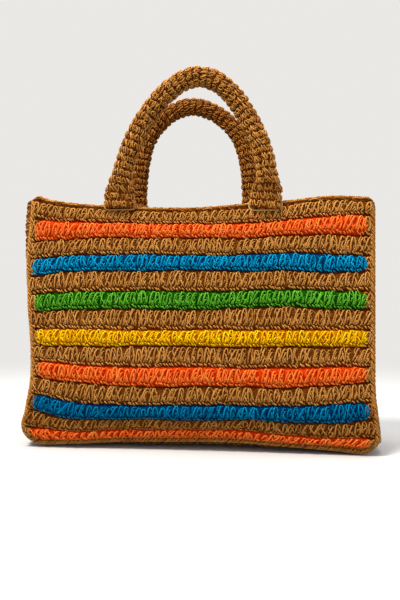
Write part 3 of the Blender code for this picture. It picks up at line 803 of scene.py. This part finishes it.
def lay_backing(mesh, row, columns, outer_up=PANEL_UPS, inner=5):
    """A band with a round outer face, which the stitches lie on, coloured as painted shade."""
    ups = np.concatenate([outer_up, np.linspace(outer_up[-1], 0.0, inner)])
    is_outer = np.arange(len(ups)) < len(outer_up)
    where, up = np.meshgrid(columns, ups, indexing="ij")
    points, _ = row.place(where, up, np.where(is_outer, row.thickness(up, where)[0], INNER_DEPTH))
    # Painted shade in the groove between rows: the backing darkens towards its edges
    edge_shade_mask = smooth_step((np.abs(2 * ups - 1) - 0.68) / 0.28) * is_outer
    tone = row.backing_shade_tone - row.edge_shade * edge_shade_mask
    # The outer face has the lowest crest, so the material paints it in the deepest shade
    crest = np.where(is_outer, -0.1, 0.0)
    order = slice(None, None, row.loft_step)
    mesh.add_loft(points[:, order], tone[None, order], crest[None, order])


def lay_stitches(mesh, row, variants, rng, count, chosen=None):
    """The outer stitches of a row, or only the chosen ones of them."""
    for share, picked, along, up, crest in stitch_lines(variants, count, rng):
        # A random tone for each strand, with the lowest rows' painted shade added
        tones = 0.5 + row.tone + row.uneven(rng, len(picked))
        if chosen is not None:
            keep = np.isin(picked, chosen)
            picked, along, up, crest, tones = (values[keep] for values in (picked, along, up, crest, tones))
        if not len(picked):
            continue
        radius = row.form.yarn.radius * share * row.thick
        where, up = row.along((picked[:, None] + along) / count), row.outer_up(up)
        low, high = row.thickness(up, where)
        points, normal = row.place(where, up, low + (high - radius - low) * crest * row.crest_share)
        mesh.add_strands(points, normal, radius, tones, crest, OUTER_SIDES)


def lay_inside(mesh, row, rng, count):
    """The posts and loops that a row shows inside the bag."""
    for share, picked, along, up, crest in stitch_lines(INNER_STITCHES, count, rng):
        radius = row.form.yarn.radius * share
        offset = INNER_DEPTH + radius * 0.4 - (INNER_DEPTH + radius * 0.2) * crest
        points, normal = row.place(row.along((picked[:, None] + along) / count), row.inner_up(up), offset)
        tones = 0.45 + row.uneven(rng, len(picked))
        mesh.add_strands(points, -normal, radius, tones, crest, INNER_SIDES)


def lay_row(mesh, form, index, side, rng):
    """One row of a panel: its backing, and its stitches outside and inside."""
    row = RowForm(form, index, side, ROWS[index][0] != "ground")
    lay_backing(mesh, row, np.linspace(-1, 1, 73), PANEL_UPS * (TOP_REACH if index == 0 else 1.0))
    lay_stitches(mesh, row, HALF_TREBLES, rng, form.yarn.stitches)
    lay_inside(mesh, row, rng, form.yarn.stitches)


def lay_edges(mesh, form, index, side, rng):
    """The brown edge of the panel that shows round both ends of a coloured row."""
    row = RowForm(form, index, side, False)
    for end in (-1, 1):
        lay_backing(mesh, row, np.linspace(*sorted((end * EDGE_START, end)), 5))
    count = form.yarn.stitches
    lay_stitches(mesh, row, HALF_TREBLES, rng, count, (0, count - 1))


# A cord's core: the distance between its rings, and its sides
CORE_STEP, CORE_SIDES = 0.004, 8


def cord_surface(points, first, second, closed=False):
    """Turns round and distances along a line: first at a quarter of no turn, second at a quarter turn on."""
    if closed:
        points, first, second = (np.concatenate([values, values[:1]]) for values in (points, first, second))
    length = lengths_along(points)
    total = length[-1]

    def at(values, distance):
        return np.stack([np.interp(distance, length, column) for column in values.T], -1)

    def surface(distance, turn, radius):
        distance = distance % total if closed else distance
        angle = 2 * math.pi * turn[..., None]
        out = np.cos(angle) * unit(at(first, distance)) + np.sin(angle) * unit(at(second, distance))
        return at(points, distance) + out * np.asarray(radius)[..., None], out

    return surface, total


def lay_cord(
    mesh, cord, radius, core_share, variants, pitch, rng,
    closed=False, strand=1.0, advance=1.0, loose=0.5, tone=0.5,
):
    """A cord's core, and strands wrapped or linked over it at an even pitch."""
    surface, total = cord
    rings = int(total / CORE_STEP)
    distance = np.linspace(0, total, rings + (0 if closed else 1), endpoint=not closed)
    d, t = np.meshgrid(distance, -np.arange(CORE_SIDES) / CORE_SIDES, indexing="ij")
    core, _ = surface(d, t, np.full_like(d, radius * core_share))
    # The core shows between the wraps with no crest, so it is coloured mostly as painted shade
    mesh.add_loft(core, 0.45, 0.0, closed=closed)
    count = int(total / pitch)
    thick = mesh.yarn_radius * strand
    for share, picked, along, around, crest in stitch_lines(variants, count, rng, loose):
        place = (picked[:, None] + (along - 0.5) * advance) * total / count
        if not closed:
            place = place.clip(0, total)
        low = radius * core_share
        points, out = surface(place, around, low + (radius * 1.1 - thick * share - low) * crest)
        tones = tone + 0.25 * rng.normal(0, 1, len(picked))
        mesh.add_strands(points, out, thick * share, tones, crest, OUTER_SIDES)


def seam_cord(form, side, shift=(0.0, 0.0)):
    """A seam's line, moved outwards and forwards, with its outward and forward directions."""
    line = form.seam_line
    out = unit(np.stack([line["out"][:, 0], np.zeros(len(line["out"])), line["out"][:, 1]], -1))
    normal = line["normal"]
    points = form.settled(line["points"] + out * shift[0] + normal * shift[1], side)
    turn = (1, 1, 1) if side < 0 else HALF_ROUND
    return points, out * turn, normal * turn


# Places along the rim's line, over a panel and in all, how far in it stays at the corners, and the peak
# of its front left corner
RIM_PLACES, RIM_RINGS = 119, 500
RIM_INSET, RIM_PEAK = 0.0015, 0.0012


def rim_line(form):
    """The rim's closed line over panels and sides, with its upward and outward directions."""
    yarn = form.yarn
    room = yarn.rim_radius + GAP
    across = np.linspace(-1, 1, RIM_PLACES)
    x = across * (form.panel_half_width(form.edge_height(1.0, 0.0)) - RIM_INSET)
    z = form.edge_height(across, 0.0) + room
    front = np.stack([x, -(form.panel_depth(x, z) + yarn.fabric / 2), z], -1)
    total = form.seam_line["length"][-1]
    places = np.linspace(-0.93, 0.93, 25)

    def side_edge(distance, inside):
        normal = normals_of(form.strip, np.full_like(places, inside), places, -1.0)
        edge = form.strip(np.full_like(places, distance), places)
        return edge + normal * yarn.fabric / 2 + (0, 0, room - 0.0005)

    right, left = side_edge(total, total - 0.002), side_edge(0.0, 0.002)
    peak = np.outer(smooth_step((-across - 0.94) / 0.05), (0, 0, RIM_PEAK))
    points = np.concatenate([form.slumped(front) + peak, right, form.slumped(front * HALF_ROUND), left[::-1]])
    points = np.roll(points, -(RIM_PLACES // 2), 0)
    points = rounded_line(np.concatenate([points, points[:1]]), RIM_RINGS + 1)[:-1]
    ahead = unit(np.roll(points, -1, 0) - np.roll(points, 1, 0))
    out = unit(np.cross(ahead, (0, 0, 1)))
    return points, np.cross(out, ahead), out


# Where a yarn's painted shade (deep), own colour and painted highlight (pale) lie as its light rises, and
# what is added to that light so that a strand's sides are of its own colour
SHADE_STOPS = (0.0, 0.55, 1.05)
SHADE_LEVEL = -1.17
# How much stronger the painted shade's colour is than the yarn's own
DEEPENING = {"orange": 1.4, "yellow": 1.45}
# Painted shade: what share of its colour a yarn keeps in the hollows between its strands
HOLLOW_SHADES = {"orange": 0.86, "yellow": 0.9}
USUAL_DEEPENING, USUAL_HOLLOW_SHADE = 1.8, 0.85


def add_node(tree, kind, inputs=(), **settings):
    """A new node with its settings, and a value or a link for each of its named or counted inputs."""
    node = tree.nodes.new(kind)
    for name, value in settings.items():
        setattr(node, name, value)
    for key, value in dict(inputs).items():
        if isinstance(value, bpy.types.NodeSocket):
            tree.links.new(value, node.inputs[key])
        else:
            node.inputs[key].default_value = value
    return node


def add_math(tree, operation, *values):
    return add_node(tree, "ShaderNodeMath", enumerate(values), operation=operation).outputs[0]


def new_material(name):
    """A material, with its tree and its shader."""
    material = bpy.data.materials.new(name)
    material.use_nodes = True
    return material, material.node_tree, material.node_tree.nodes["Principled BSDF"]


def yarn_material(name, colour, deepening, hollow_shade):
    """Two-ply yarn with painted shade in its hollows, ply grooves and sides, and painted highlights on top."""
    material, tree, shader = new_material(name)
    uv = add_node(tree, "ShaderNodeUVMap", uv_map="yarn")
    split = add_node(tree, "ShaderNodeSeparateXYZ", {0: uv.outputs[0]})
    # The plies' grooves: painted shade in the colour, and a real bump in the relief
    turns = add_math(tree, "ADD", split.outputs[0], add_math(tree, "MULTIPLY", split.outputs[1], 2.0))
    ply = add_math(tree, "ABSOLUTE", add_math(tree, "SINE", add_math(tree, "MULTIPLY", turns, math.pi)))
    # Painted light round a strand: lighter on its top, darker on its sides and underside
    strand_top_light = add_math(tree, "SINE", add_math(tree, "MULTIPLY", split.outputs[1], 2 * math.pi))
    tone = add_node(tree, "ShaderNodeAttribute", attribute_name="tone").outputs["Fac"]
    crest = add_node(tree, "ShaderNodeAttribute", attribute_name="crest").outputs["Fac"]
    place = add_node(tree, "ShaderNodeTexCoord").outputs["Object"]
    fibres, dye = (
        add_node(tree, "ShaderNodeTexNoise", {"Vector": place, "Scale": scale, "Detail": detail}).outputs["Fac"]
        for scale, detail in ((620.0, 3.0), (34.0, 2.0))
    )
    # Painted light: a point is lighter the higher it stands over the backing, on a strand's top and on a ply's
    # crest, with its random tone, fibres and dye added
    reach = {"Value": crest, "From Min": -0.1, "From Max": 1.0}
    height = add_node(tree, "ShaderNodeMapRange", reach, interpolation_type="SMOOTHSTEP").outputs[0]
    light = SHADE_LEVEL
    shares = ((height, 0.55), (strand_top_light, 0.24), (ply, 0.50), (tone, 0.38), (fibres, 1.15), (dye, 0.25))
    for source, weight in shares:
        light = add_math(tree, "ADD", light, add_math(tree, "MULTIPLY", source, weight))

    # deep is the painted shade's colour and pale the painted highlight's
    deep = [(0.7 + 0.2 * channel) * channel**deepening for channel in colour]
    pale = [min(1.6 * channel**0.8, 1.0) for channel in colour]
    shade = (*deep, 1)
    for lighter, low, high in zip((colour, pale), SHADE_STOPS, SHADE_STOPS[1:]):
        blend = add_node(tree, "ShaderNodeMapRange", {"Value": light, "From Min": low, "From Max": high})
        between = {"A": shade, "B": (*lighter, 1), "Factor": blend.outputs[0]}
        shade = add_node(tree, "ShaderNodeMix", between, data_type="RGBA").outputs["Result"]
    # Painted shade: the hollows between strands and the backings keep only a share of the colour
    reach = {"Value": crest, "From Min": -0.1, "From Max": 0.1, "To Min": hollow_shade}
    depth = add_node(tree, "ShaderNodeMapRange", reach).outputs[0]
    shaded = add_node(tree, "ShaderNodeVectorMath", {0: shade, "Scale": depth}, operation="SCALE")
    tree.links.new(shaded.outputs[0], shader.inputs["Base Color"])
    shader.inputs["Specular IOR Level"].default_value = 0.08
    shader.inputs["Specular Tint"].default_value = (*pale, 1)

    rough = add_math(tree, "ADD", 0.4, add_math(tree, "MULTIPLY", fibres, 0.2))
    tree.links.new(rough, shader.inputs["Roughness"])
    plies, fuzz = add_math(tree, "MULTIPLY", ply, 0.8), add_math(tree, "MULTIPLY", fibres, 0.35)
    relief = add_math(tree, "ADD", plies, fuzz)
    bump = add_node(tree, "ShaderNodeBump", {"Height": relief, "Strength": 0.6, "Distance": 0.0004})
    tree.links.new(bump.outputs[0], shader.inputs["Normal"])
    return material


def yarn_of(name):
    """The material of one of the bag's yarns, made once."""
    found = bpy.data.materials.get(f"{name}_yarn")
    if found:
        return found
    own = getattr(bpy.context.scene.tote_colours, name)
    deepening, hollow_shade = DEEPENING.get(name, USUAL_DEEPENING), HOLLOW_SHADES.get(name, USUAL_HOLLOW_SHADE)
    return yarn_material(f"{name}_yarn", own, deepening, hollow_shade)


def new_mesh():
    return YarnMesh(bpy.context.scene.tote_yarn)


def bag_form():
    scene = bpy.context.scene
    return BagForm(scene.tote_bag, scene.tote_yarn)


def settle(mesh, name, colour, slot, *nodes):
    """Makes the piece, hangs it on the bag's body and lets it stand for its solids."""
    piece = mesh.make(name, yarn_of(colour))
    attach(piece, "root")
    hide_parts(*nodes)


SIDES = (("front", -1), ("back", 1))
# Each piece's own uneven work always comes out the same
GROUND_SEEDS, STRIPE_SEEDS = {-1: 11, 1: 12}, {-1: 100, 1: 150}
SEAM_SEEDS, HANDLE_SEEDS = {-1: 41, 1: 42}, {-1: 61, 1: 62}
STRIP_SEED, RIM_SEED = 31, 51
# From one wrap of a seam to the next, and how many such steps a wrap runs along
SEAM_PITCH, SEAM_ADVANCE = 0.0040, 2.7
# A thinner cord lies beside it, so far outwards and forwards
THIN_SHIFT, THIN_RADIUS, THIN_PITCH, THIN_ADVANCE = (0.0019, -0.0014), 0.0016, 0.0048, 2.2
RIM_PITCH = 0.0084


class TOTE_OT_ground(bpy.types.Operator):
    """Crochet the plain brown rows of both panels"""

    bl_idname = "tote.ground"
    bl_label = "Plain rows"

    def execute(self, context):
        form = bag_form()
        for name, side in SIDES:
            rng = np.random.default_rng(GROUND_SEEDS[side])
            mesh = new_mesh()
            for index, (yarn, _, _) in enumerate(ROWS):
                if yarn == "ground":
                    lay_row(mesh, form, index, side, rng)
                else:
                    lay_edges(mesh, form, index, side, rng)
            settle(mesh, f"{name}_plain_rows", "ground", "ground", f"{name}_panel_ground")
        return {"FINISHED"}


class TOTE_OT_stripes(bpy.types.Operator):
    """Crochet the coloured rows of both panels"""

    bl_idname = "tote.stripes"
    bl_label = "Stripes"

    def execute(self, context):
        form = bag_form()
        for name, side in SIDES:
            for stripe, index in STRIPES:
                rng = np.random.default_rng(STRIPE_SEEDS[side] + index)
                mesh = new_mesh()
                lay_row(mesh, form, index, side, rng)
                colour = ROWS[index][0]
                settle(mesh, f"{name}_{stripe}_row", colour, colour, f"{name}_{stripe}_stripe")
        return {"FINISHED"}


class TOTE_OT_strip(bpy.types.Operator):
    """Crochet the strip that makes both sides and the base"""

    bl_idname = "tote.strip"
    bl_label = "Side and base strip"

    def execute(self, context):
        form, mesh = bag_form(), new_mesh()
        rng = np.random.default_rng(STRIP_SEED)
        total = form.seam_line["length"][-1]
        columns, count = np.linspace(0, total, 150), int(total / form.yarn.stitch)
        for index in range(STRIP_ROWS):
            row = StripRow(form, index)
            lay_backing(mesh, row, columns, FRONT_STRIP_UPS if index == 0 else STRIP_UPS, 4)
            lay_stitches(mesh, row, PLAIN_STITCHES, rng, count)
            lay_inside(mesh, row, rng, count)
        settle(mesh, "strip_rows", "ground", "ground", "side_and_base_strip")
        return {"FINISHED"}


class TOTE_OT_seams(bpy.types.Operator):
    """Wrap the edging of both seams"""

    bl_idname = "tote.seams"
    bl_label = "Seam edging"

    def execute(self, context):
        form = bag_form()
        for name, side in SIDES:
            rng = np.random.default_rng(SEAM_SEEDS[side])
            mesh = new_mesh()
            cord = cord_surface(*seam_cord(form, side))
            lay_cord(mesh, cord, form.yarn.seam_radius, 0.8, SEAM_WRAPS, SEAM_PITCH, rng, advance=SEAM_ADVANCE)
            thin_cord = cord_surface(*seam_cord(form, side, THIN_SHIFT))
            lay_cord(
                mesh, thin_cord, THIN_RADIUS, 0.5, SEAM_WRAPS, THIN_PITCH, rng,
                strand=0.9, advance=THIN_ADVANCE,
            )
            settle(mesh, f"{name}_seam_wraps", "ground", "ground", f"{name}_seam_edging")
        return {"FINISHED"}


class TOTE_OT_rim(bpy.types.Operator):
    """Chain the edging round the rim"""

    bl_idname = "tote.rim"
    bl_label = "Rim edging"

    def execute(self, context):
        form, mesh = bag_form(), new_mesh()
        rng = np.random.default_rng(RIM_SEED)
        cord, radius = cord_surface(*rim_line(form), closed=True), form.yarn.rim_radius
        lay_cord(mesh, cord, radius, 0.9, RIM_LINKS, RIM_PITCH, rng, closed=True, loose=1.1, tone=0.1)
        settle(mesh, "rim_chain", "ground", "ground", "rim_edging")
        return {"FINISHED"}


# Stitches in a round of a handle, how thick their yarn is, and how light each handle is: the back one is
# darkened with painted shade
ROUND_STITCH_COUNT, ROUND_YARN = 12, 0.9
HANDLE_SHADE_TONES = {-1: 0.28, 1: -0.35}
# How deep the tube under its stitches lies, and how much less so on a rib and on a tab
TUBE_DEPTH, RIB_RISE, TAB_RISE = 0.0033, 0.0014, 0.0010
TUBE_SIDES, RIB_STEPS = 16, 4
# Where a handle's strands dip to under its surface, and how far their crests stand over that
STRAND_DEPTH, STRAND_RISE = 0.0028, 0.0029
# The rope's three plies turn once in this length
ROPE_TURN = 0.024


def lay_rounds(mesh, handle, rng):
    """A handle's ribbed tube, and its rounds of stitches over it."""
    sizes, total, surface = handle.sizes, handle.total, handle.surface
    ribs = round(total / sizes.rib_pitch)
    steps = ribs * RIB_STEPS + 1
    rib = 0.5 - 0.5 * np.cos(2 * math.pi * np.arange(steps) / RIB_STEPS)
    d, t = np.meshgrid(np.linspace(0, total, steps), np.arange(TUBE_SIDES) / TUBE_SIDES, indexing="ij")
    flat = 1 - smooth_step((np.minimum(d, total - d) - sizes.tab_straight) / sizes.tab_taper)
    # The tube shows between the stitches with the lowest crest, so the material paints it in deep shade
    mesh.add_loft(surface(d, -t, TUBE_DEPTH - RIB_RISE * rib[:, None] - TAB_RISE * flat), 0.35, -0.1)
    spin = rng.uniform(0, 1, ribs)
    for share, picked, across, up, crest in stitch_lines(ROUND_STITCHES, ribs * ROUND_STITCH_COUNT, rng, 1.5):
        rib_index, knot = np.divmod(picked, ROUND_STITCH_COUNT)
        radius = mesh.yarn_radius * share * ROUND_YARN
        d = (rib_index[:, None] + up) * total / ribs
        t = (knot[:, None] + across + spin[rib_index][:, None]) / ROUND_STITCH_COUNT
        normal = normals_of(surface, d.clip(0.0002, total - 0.0002), t)
        x, z, _ = handle.middle_line(d)
        points = surface(d.clip(-0.001, total + 0.001), t)
        outward = points - np.stack([x, handle.side * handle.middle_depth(d), z], -1)
        normal = normal * np.sign((normal * outward).sum(-1, keepdims=True))
        offset = -STRAND_DEPTH + (STRAND_RISE - radius) * crest.clip(0, 1.25)
        # The back handle's tone is darkened with painted shade
        tones = HANDLE_SHADE_TONES[handle.side] + 0.28 * rng.normal(0, 1, len(picked))
        mesh.add_strands(points + normal * offset[..., None], normal, radius, tones, crest, OUTER_SIDES)


def lay_rope(mesh, handle):
    """Three plies turned round each other, along the round part of a handle."""
    sizes = handle.sizes
    low, radius = sizes.tab_straight + sizes.tab_taper, sizes.rope_radius * 0.5
    distance = np.linspace(low, handle.total - low, 120)
    x, z, ahead = handle.middle_line(distance)
    middle = np.stack([x, np.full_like(x, handle.side * handle.plane), z], -1)
    outward = np.stack([-ahead[:, 1], np.zeros_like(x), ahead[:, 0]], -1)
    back = np.array((0.0, 1.0, 0.0))
    plies = []
    for ply in range(3):
        angle = 2 * math.pi * (distance / ROPE_TURN + ply / 3)
        plies.append(middle + (outward * np.cos(angle)[:, None] + back * np.sin(angle)[:, None]) * radius)
    plies = np.array(plies)
    tones, crests = [0.4, 0.5, 0.6], np.ones(plies.shape[:2])
    mesh.add_strands(plies, np.broadcast_to(back, plies.shape), radius, tones, crests, 8)


class TOTE_OT_handles(bpy.types.Operator):
    """Crochet both handles in rounds over their rope"""

    bl_idname = "tote.handles"
    bl_label = "Handles"

    def execute(self, context):
        form = bag_form()
        for name, side in SIDES:
            handle = HandleForm(context.scene.tote_handles, form, side)
            mesh = new_mesh()
            lay_rounds(mesh, handle, np.random.default_rng(HANDLE_SEEDS[side]))
            settle(mesh, f"{name}_handle_rounds", "ground", "ground", f"{name}_handle_cover")
            mesh = new_mesh()
            lay_rope(mesh, handle)
            settle(mesh, f"{name}_handle_strands", "rope", "rope", f"{name}_handle_rope")
        return {"FINISHED"}


# Half of the line that sews a tab: beyond the tab's half width, and above its foot
TAB_SEWING = ((-0.0039, -0.0006), (-0.0008, 0.0008), (0.0004, 0.0045), (-0.0004, 0.0082), (-0.0028, 0.0115))
SEWING_RADIUS, SEWING_LEAN, SEWING_PLACES = 0.00085, 0.0022, 40


class TOTE_OT_sewing(bpy.types.Operator):
    """Sew the handles' tabs down"""

    bl_idname = "tote.sewing"
    bl_label = "Tab sewing"

    def execute(self, context):
        form, sizes = bag_form(), context.scene.tote_handles
        for name, side in SIDES:
            handle = HandleForm(sizes, form, side)
            y = side * (handle.plane - sizes.tab_lean - sizes.tab_half_depth + 0.0026)
            for place, end, foot in (("left", 0, handle.feet[0]), ("right", -1, handle.feet[1])):
                mesh = new_mesh()
                x, low = handle.line[end, 0], foot - 0.0010
                half = [(sizes.tab_half_width + across, up) for across, up in TAB_SEWING]
                outline = [(-a, b) for a, b in half[::-1]] + [(0, -0.0007)] + half
                line = [(x + a, y - side * SEWING_LEAN * (b > 0.01), low + b) for a, b in outline]
                line = rounded_line(line, SEWING_PLACES)[None]
                normals = np.broadcast_to((0.0, float(side), 0.0), line.shape)
                mesh.add_strands(line, normals, SEWING_RADIUS, [0.8], np.ones((1, SEWING_PLACES)), 6)
                colour = "thread" if end else "ground"
                settle(mesh, f"{name}_{place}_tab_sewing", colour, "ground", f"{name}_{place}_tab_stitching")
        return {"FINISHED"}


def camera_rays(tree):
    """1 for what the camera sees straight or in a gloss or a glass, else 0."""
    path = add_node(tree, "ShaderNodeLightPath").outputs
    seen = add_math(tree, "MAXIMUM", path["Is Camera Ray"], path["Is Glossy Ray"])
    return add_math(tree, "MAXIMUM", seen, path["Is Transmission Ray"])


def floor_material(colour):
    """A pale floor that fades into the backdrop's colour away from the bag."""
    material, tree, shader = new_material("pale_floor")
    seen = camera_rays(tree)
    dim = [0.4 * channel for channel in colour]
    colours = {"A": (*dim, 1), "B": (*colour, 1), "Factor": seen}
    seen_colour = add_node(tree, "ShaderNodeMix", colours, data_type="RGBA").outputs["Result"]
    tree.links.new(seen_colour, shader.inputs["Base Color"])
    shader.inputs["Roughness"].default_value = 0.9
    shader.inputs["Specular IOR Level"].default_value = 0.1
    plain = add_node(tree, "ShaderNodeEmission", {"Color": (*colour, 1)})
    place = add_node(tree, "ShaderNodeTexCoord").outputs["Object"]
    reach = add_node(tree, "ShaderNodeVectorMath", {0: place}, operation="LENGTH").outputs["Value"]
    reach = {"Value": reach, "From Min": 0.35, "From Max": 1.5}
    fade = add_node(tree, "ShaderNodeMapRange", reach, interpolation_type="SMOOTHSTEP").outputs[0]
    shaders = {0: add_math(tree, "MULTIPLY", fade, seen), 1: shader.outputs[0], 2: plain.outputs[0]}
    mix = add_node(tree, "ShaderNodeMixShader", shaders)
    tree.links.new(mix.outputs[0], tree.nodes["Material Output"].inputs["Surface"])
    return material


def studio_world(colour):
    """Soft light from all round, which the camera sees as the backdrop's plain colour."""
    world = bpy.data.worlds.new("studio")
    world.use_nodes = True
    tree = world.node_tree
    light = tree.nodes["Background"]
    light.inputs["Color"].default_value = (0.95, 0.97, 1.0, 1)
    light.inputs["Strength"].default_value = 0.45
    plain = add_node(tree, "ShaderNodeBackground", {"Color": (*colour, 1)})
    shaders = {0: camera_rays(tree), 1: light.outputs[0], 2: plain.outputs[0]}
    mix = add_node(tree, "ShaderNodeMixShader", shaders)
    tree.links.new(mix.outputs[0], tree.nodes["World Output"].inputs["Surface"])
    return world


# Each lamp's place, breadth, power and colour, and the point they all shine on
LAMPS = {
    "key": ((-0.5, -0.85, 1.75), 0.55, 37.0, (1.0, 0.97, 0.93)),
    "fill": ((1.3, -1.0, 0.7), 1.2, 5.0, (0.95, 0.97, 1.0)),
    "top": ((0.1, 0.1, 1.7), 0.8, 14.0, (1.0, 1.0, 1.0)),
}
LAMPS_AIM = (0, 0, 0.17)
FLOOR_RINGS = (0.4, 0.9, 1.6, 2.6, 4.0, 7.0, 12.0)


def floor_mesh():
    """A flat round floor, in rings about the bag."""
    turns = np.linspace(0, 2 * math.pi, 97)[:-1]
    verts = [(0, 0, 0)] + [(r * math.cos(t), r * math.sin(t), 0) for r in FLOOR_RINGS for t in turns]
    count = len(turns)
    ring, k = np.meshgrid(np.arange(len(FLOOR_RINGS) - 1), np.arange(count), indexing="ij")
    a, b = 1 + ring * count, 1 + (ring + 1) * count
    quads = np.stack([a + k, b + k, b + (k + 1) % count, a + (k + 1) % count], -1).reshape(-1, 4)
    mesh = bpy.data.meshes.new("floor")
    mesh.from_pydata(verts, [], [(0, 1 + k, 1 + (k + 1) % count) for k in range(count)] + quads.tolist())
    return mesh


class TOTE_OT_stage(bpy.types.Operator):
    """Set the floor, the backdrop, the lights and the camera"""

    bl_idname = "tote.stage"
    bl_label = "Stage"

    def execute(self, context):
        scene, stage = context.scene, context.scene.tote_stage
        floor = bpy.data.objects.new("floor", floor_mesh())
        floor.data.materials.append(floor_material(stage.backdrop))
        floor.location.z = stage.floor_height
        scene.collection.objects.link(floor)
        floor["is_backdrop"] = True
        scene.world = studio_world(stage.backdrop)
        for name, (where, size, power, shine) in LAMPS.items():
            data = bpy.data.lights.new(name, "AREA")
            data.shape = "DISK"
            data.size, data.energy, data.color = size, power, shine
            lamp = bpy.data.objects.new(name, data)
            lamp.location = where
            lamp.rotation_euler = (Vector(LAMPS_AIM) - Vector(where)).to_track_quat("-Z", "Y").to_euler()
            scene.collection.objects.link(lamp)

        data = bpy.data.cameras.new("camera")
        data.lens = stage.lens
        data.sensor_width = 36
        camera = bpy.data.objects.new("camera", data)
        camera.location = stage.camera
        turns = ((stage.turn, "Z"), (math.pi / 2 + stage.tilt, "X"), (stage.roll, "Z"))
        turn, tilt, roll = (Matrix.Rotation(angle, 3, axis) for angle, axis in turns)
        camera.rotation_euler = (turn @ tilt @ roll).to_euler()
        scene.collection.objects.link(camera)
        scene.camera = camera
        scene.view_settings.view_transform = "Standard"
        return {"FINISHED"}


OPERATORS = (
    TOTE_OT_ground,
    TOTE_OT_stripes,
    TOTE_OT_strip,
    TOTE_OT_seams,
    TOTE_OT_rim,
    TOTE_OT_handles,
    TOTE_OT_sewing,
    TOTE_OT_stage,
)
GROUPS = (
    ("tote_bag", BagSizes),
    ("tote_yarn", YarnSizes),
    ("tote_handles", HandleSizes),
    ("tote_colours", YarnColours),
    ("tote_stage", StageSizes),
)


class TOTE_PT_sidebar(bpy.types.Panel):
    """Lists the bag's pieces, sizes and colours"""

    bl_label = "Crocheted tote bag"
    bl_idname = "TOTE_PT_sidebar"
    bl_space_type = "VIEW_3D"
    bl_region_type = "UI"
    bl_category = "Tote bag"

    def draw(self, context):
        for operator in OPERATORS:
            self.layout.operator(operator.bl_idname)
        for name, group in GROUPS:
            box = self.layout.box()
            for prop in group.__annotations__:
                box.prop(getattr(context.scene, name), prop)


CLASSES = (*(group for _, group in GROUPS), *OPERATORS, TOTE_PT_sidebar)


def register():
    for cls in CLASSES:
        bpy.utils.register_class(cls)
    for name, group in GROUPS:
        setattr(bpy.types.Scene, name, PointerProperty(type=group))


def unregister():
    for name, _ in GROUPS:
        delattr(bpy.types.Scene, name)
    for cls in reversed(CLASSES):
        bpy.utils.unregister_class(cls)


def main():
    register()
    bpy.ops.tote.ground()
    bpy.ops.tote.stripes()
    bpy.ops.tote.strip()
    bpy.ops.tote.seams()
    bpy.ops.tote.rim()
    bpy.ops.tote.handles()
    bpy.ops.tote.sewing()
    bpy.ops.tote.stage()
    boxes = {"cad": CAD_BOX, "visual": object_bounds()}
    {name: [list(low), list(high)] for name, (low, high) in boxes.items()}


if __name__ == "__main__":
    main()
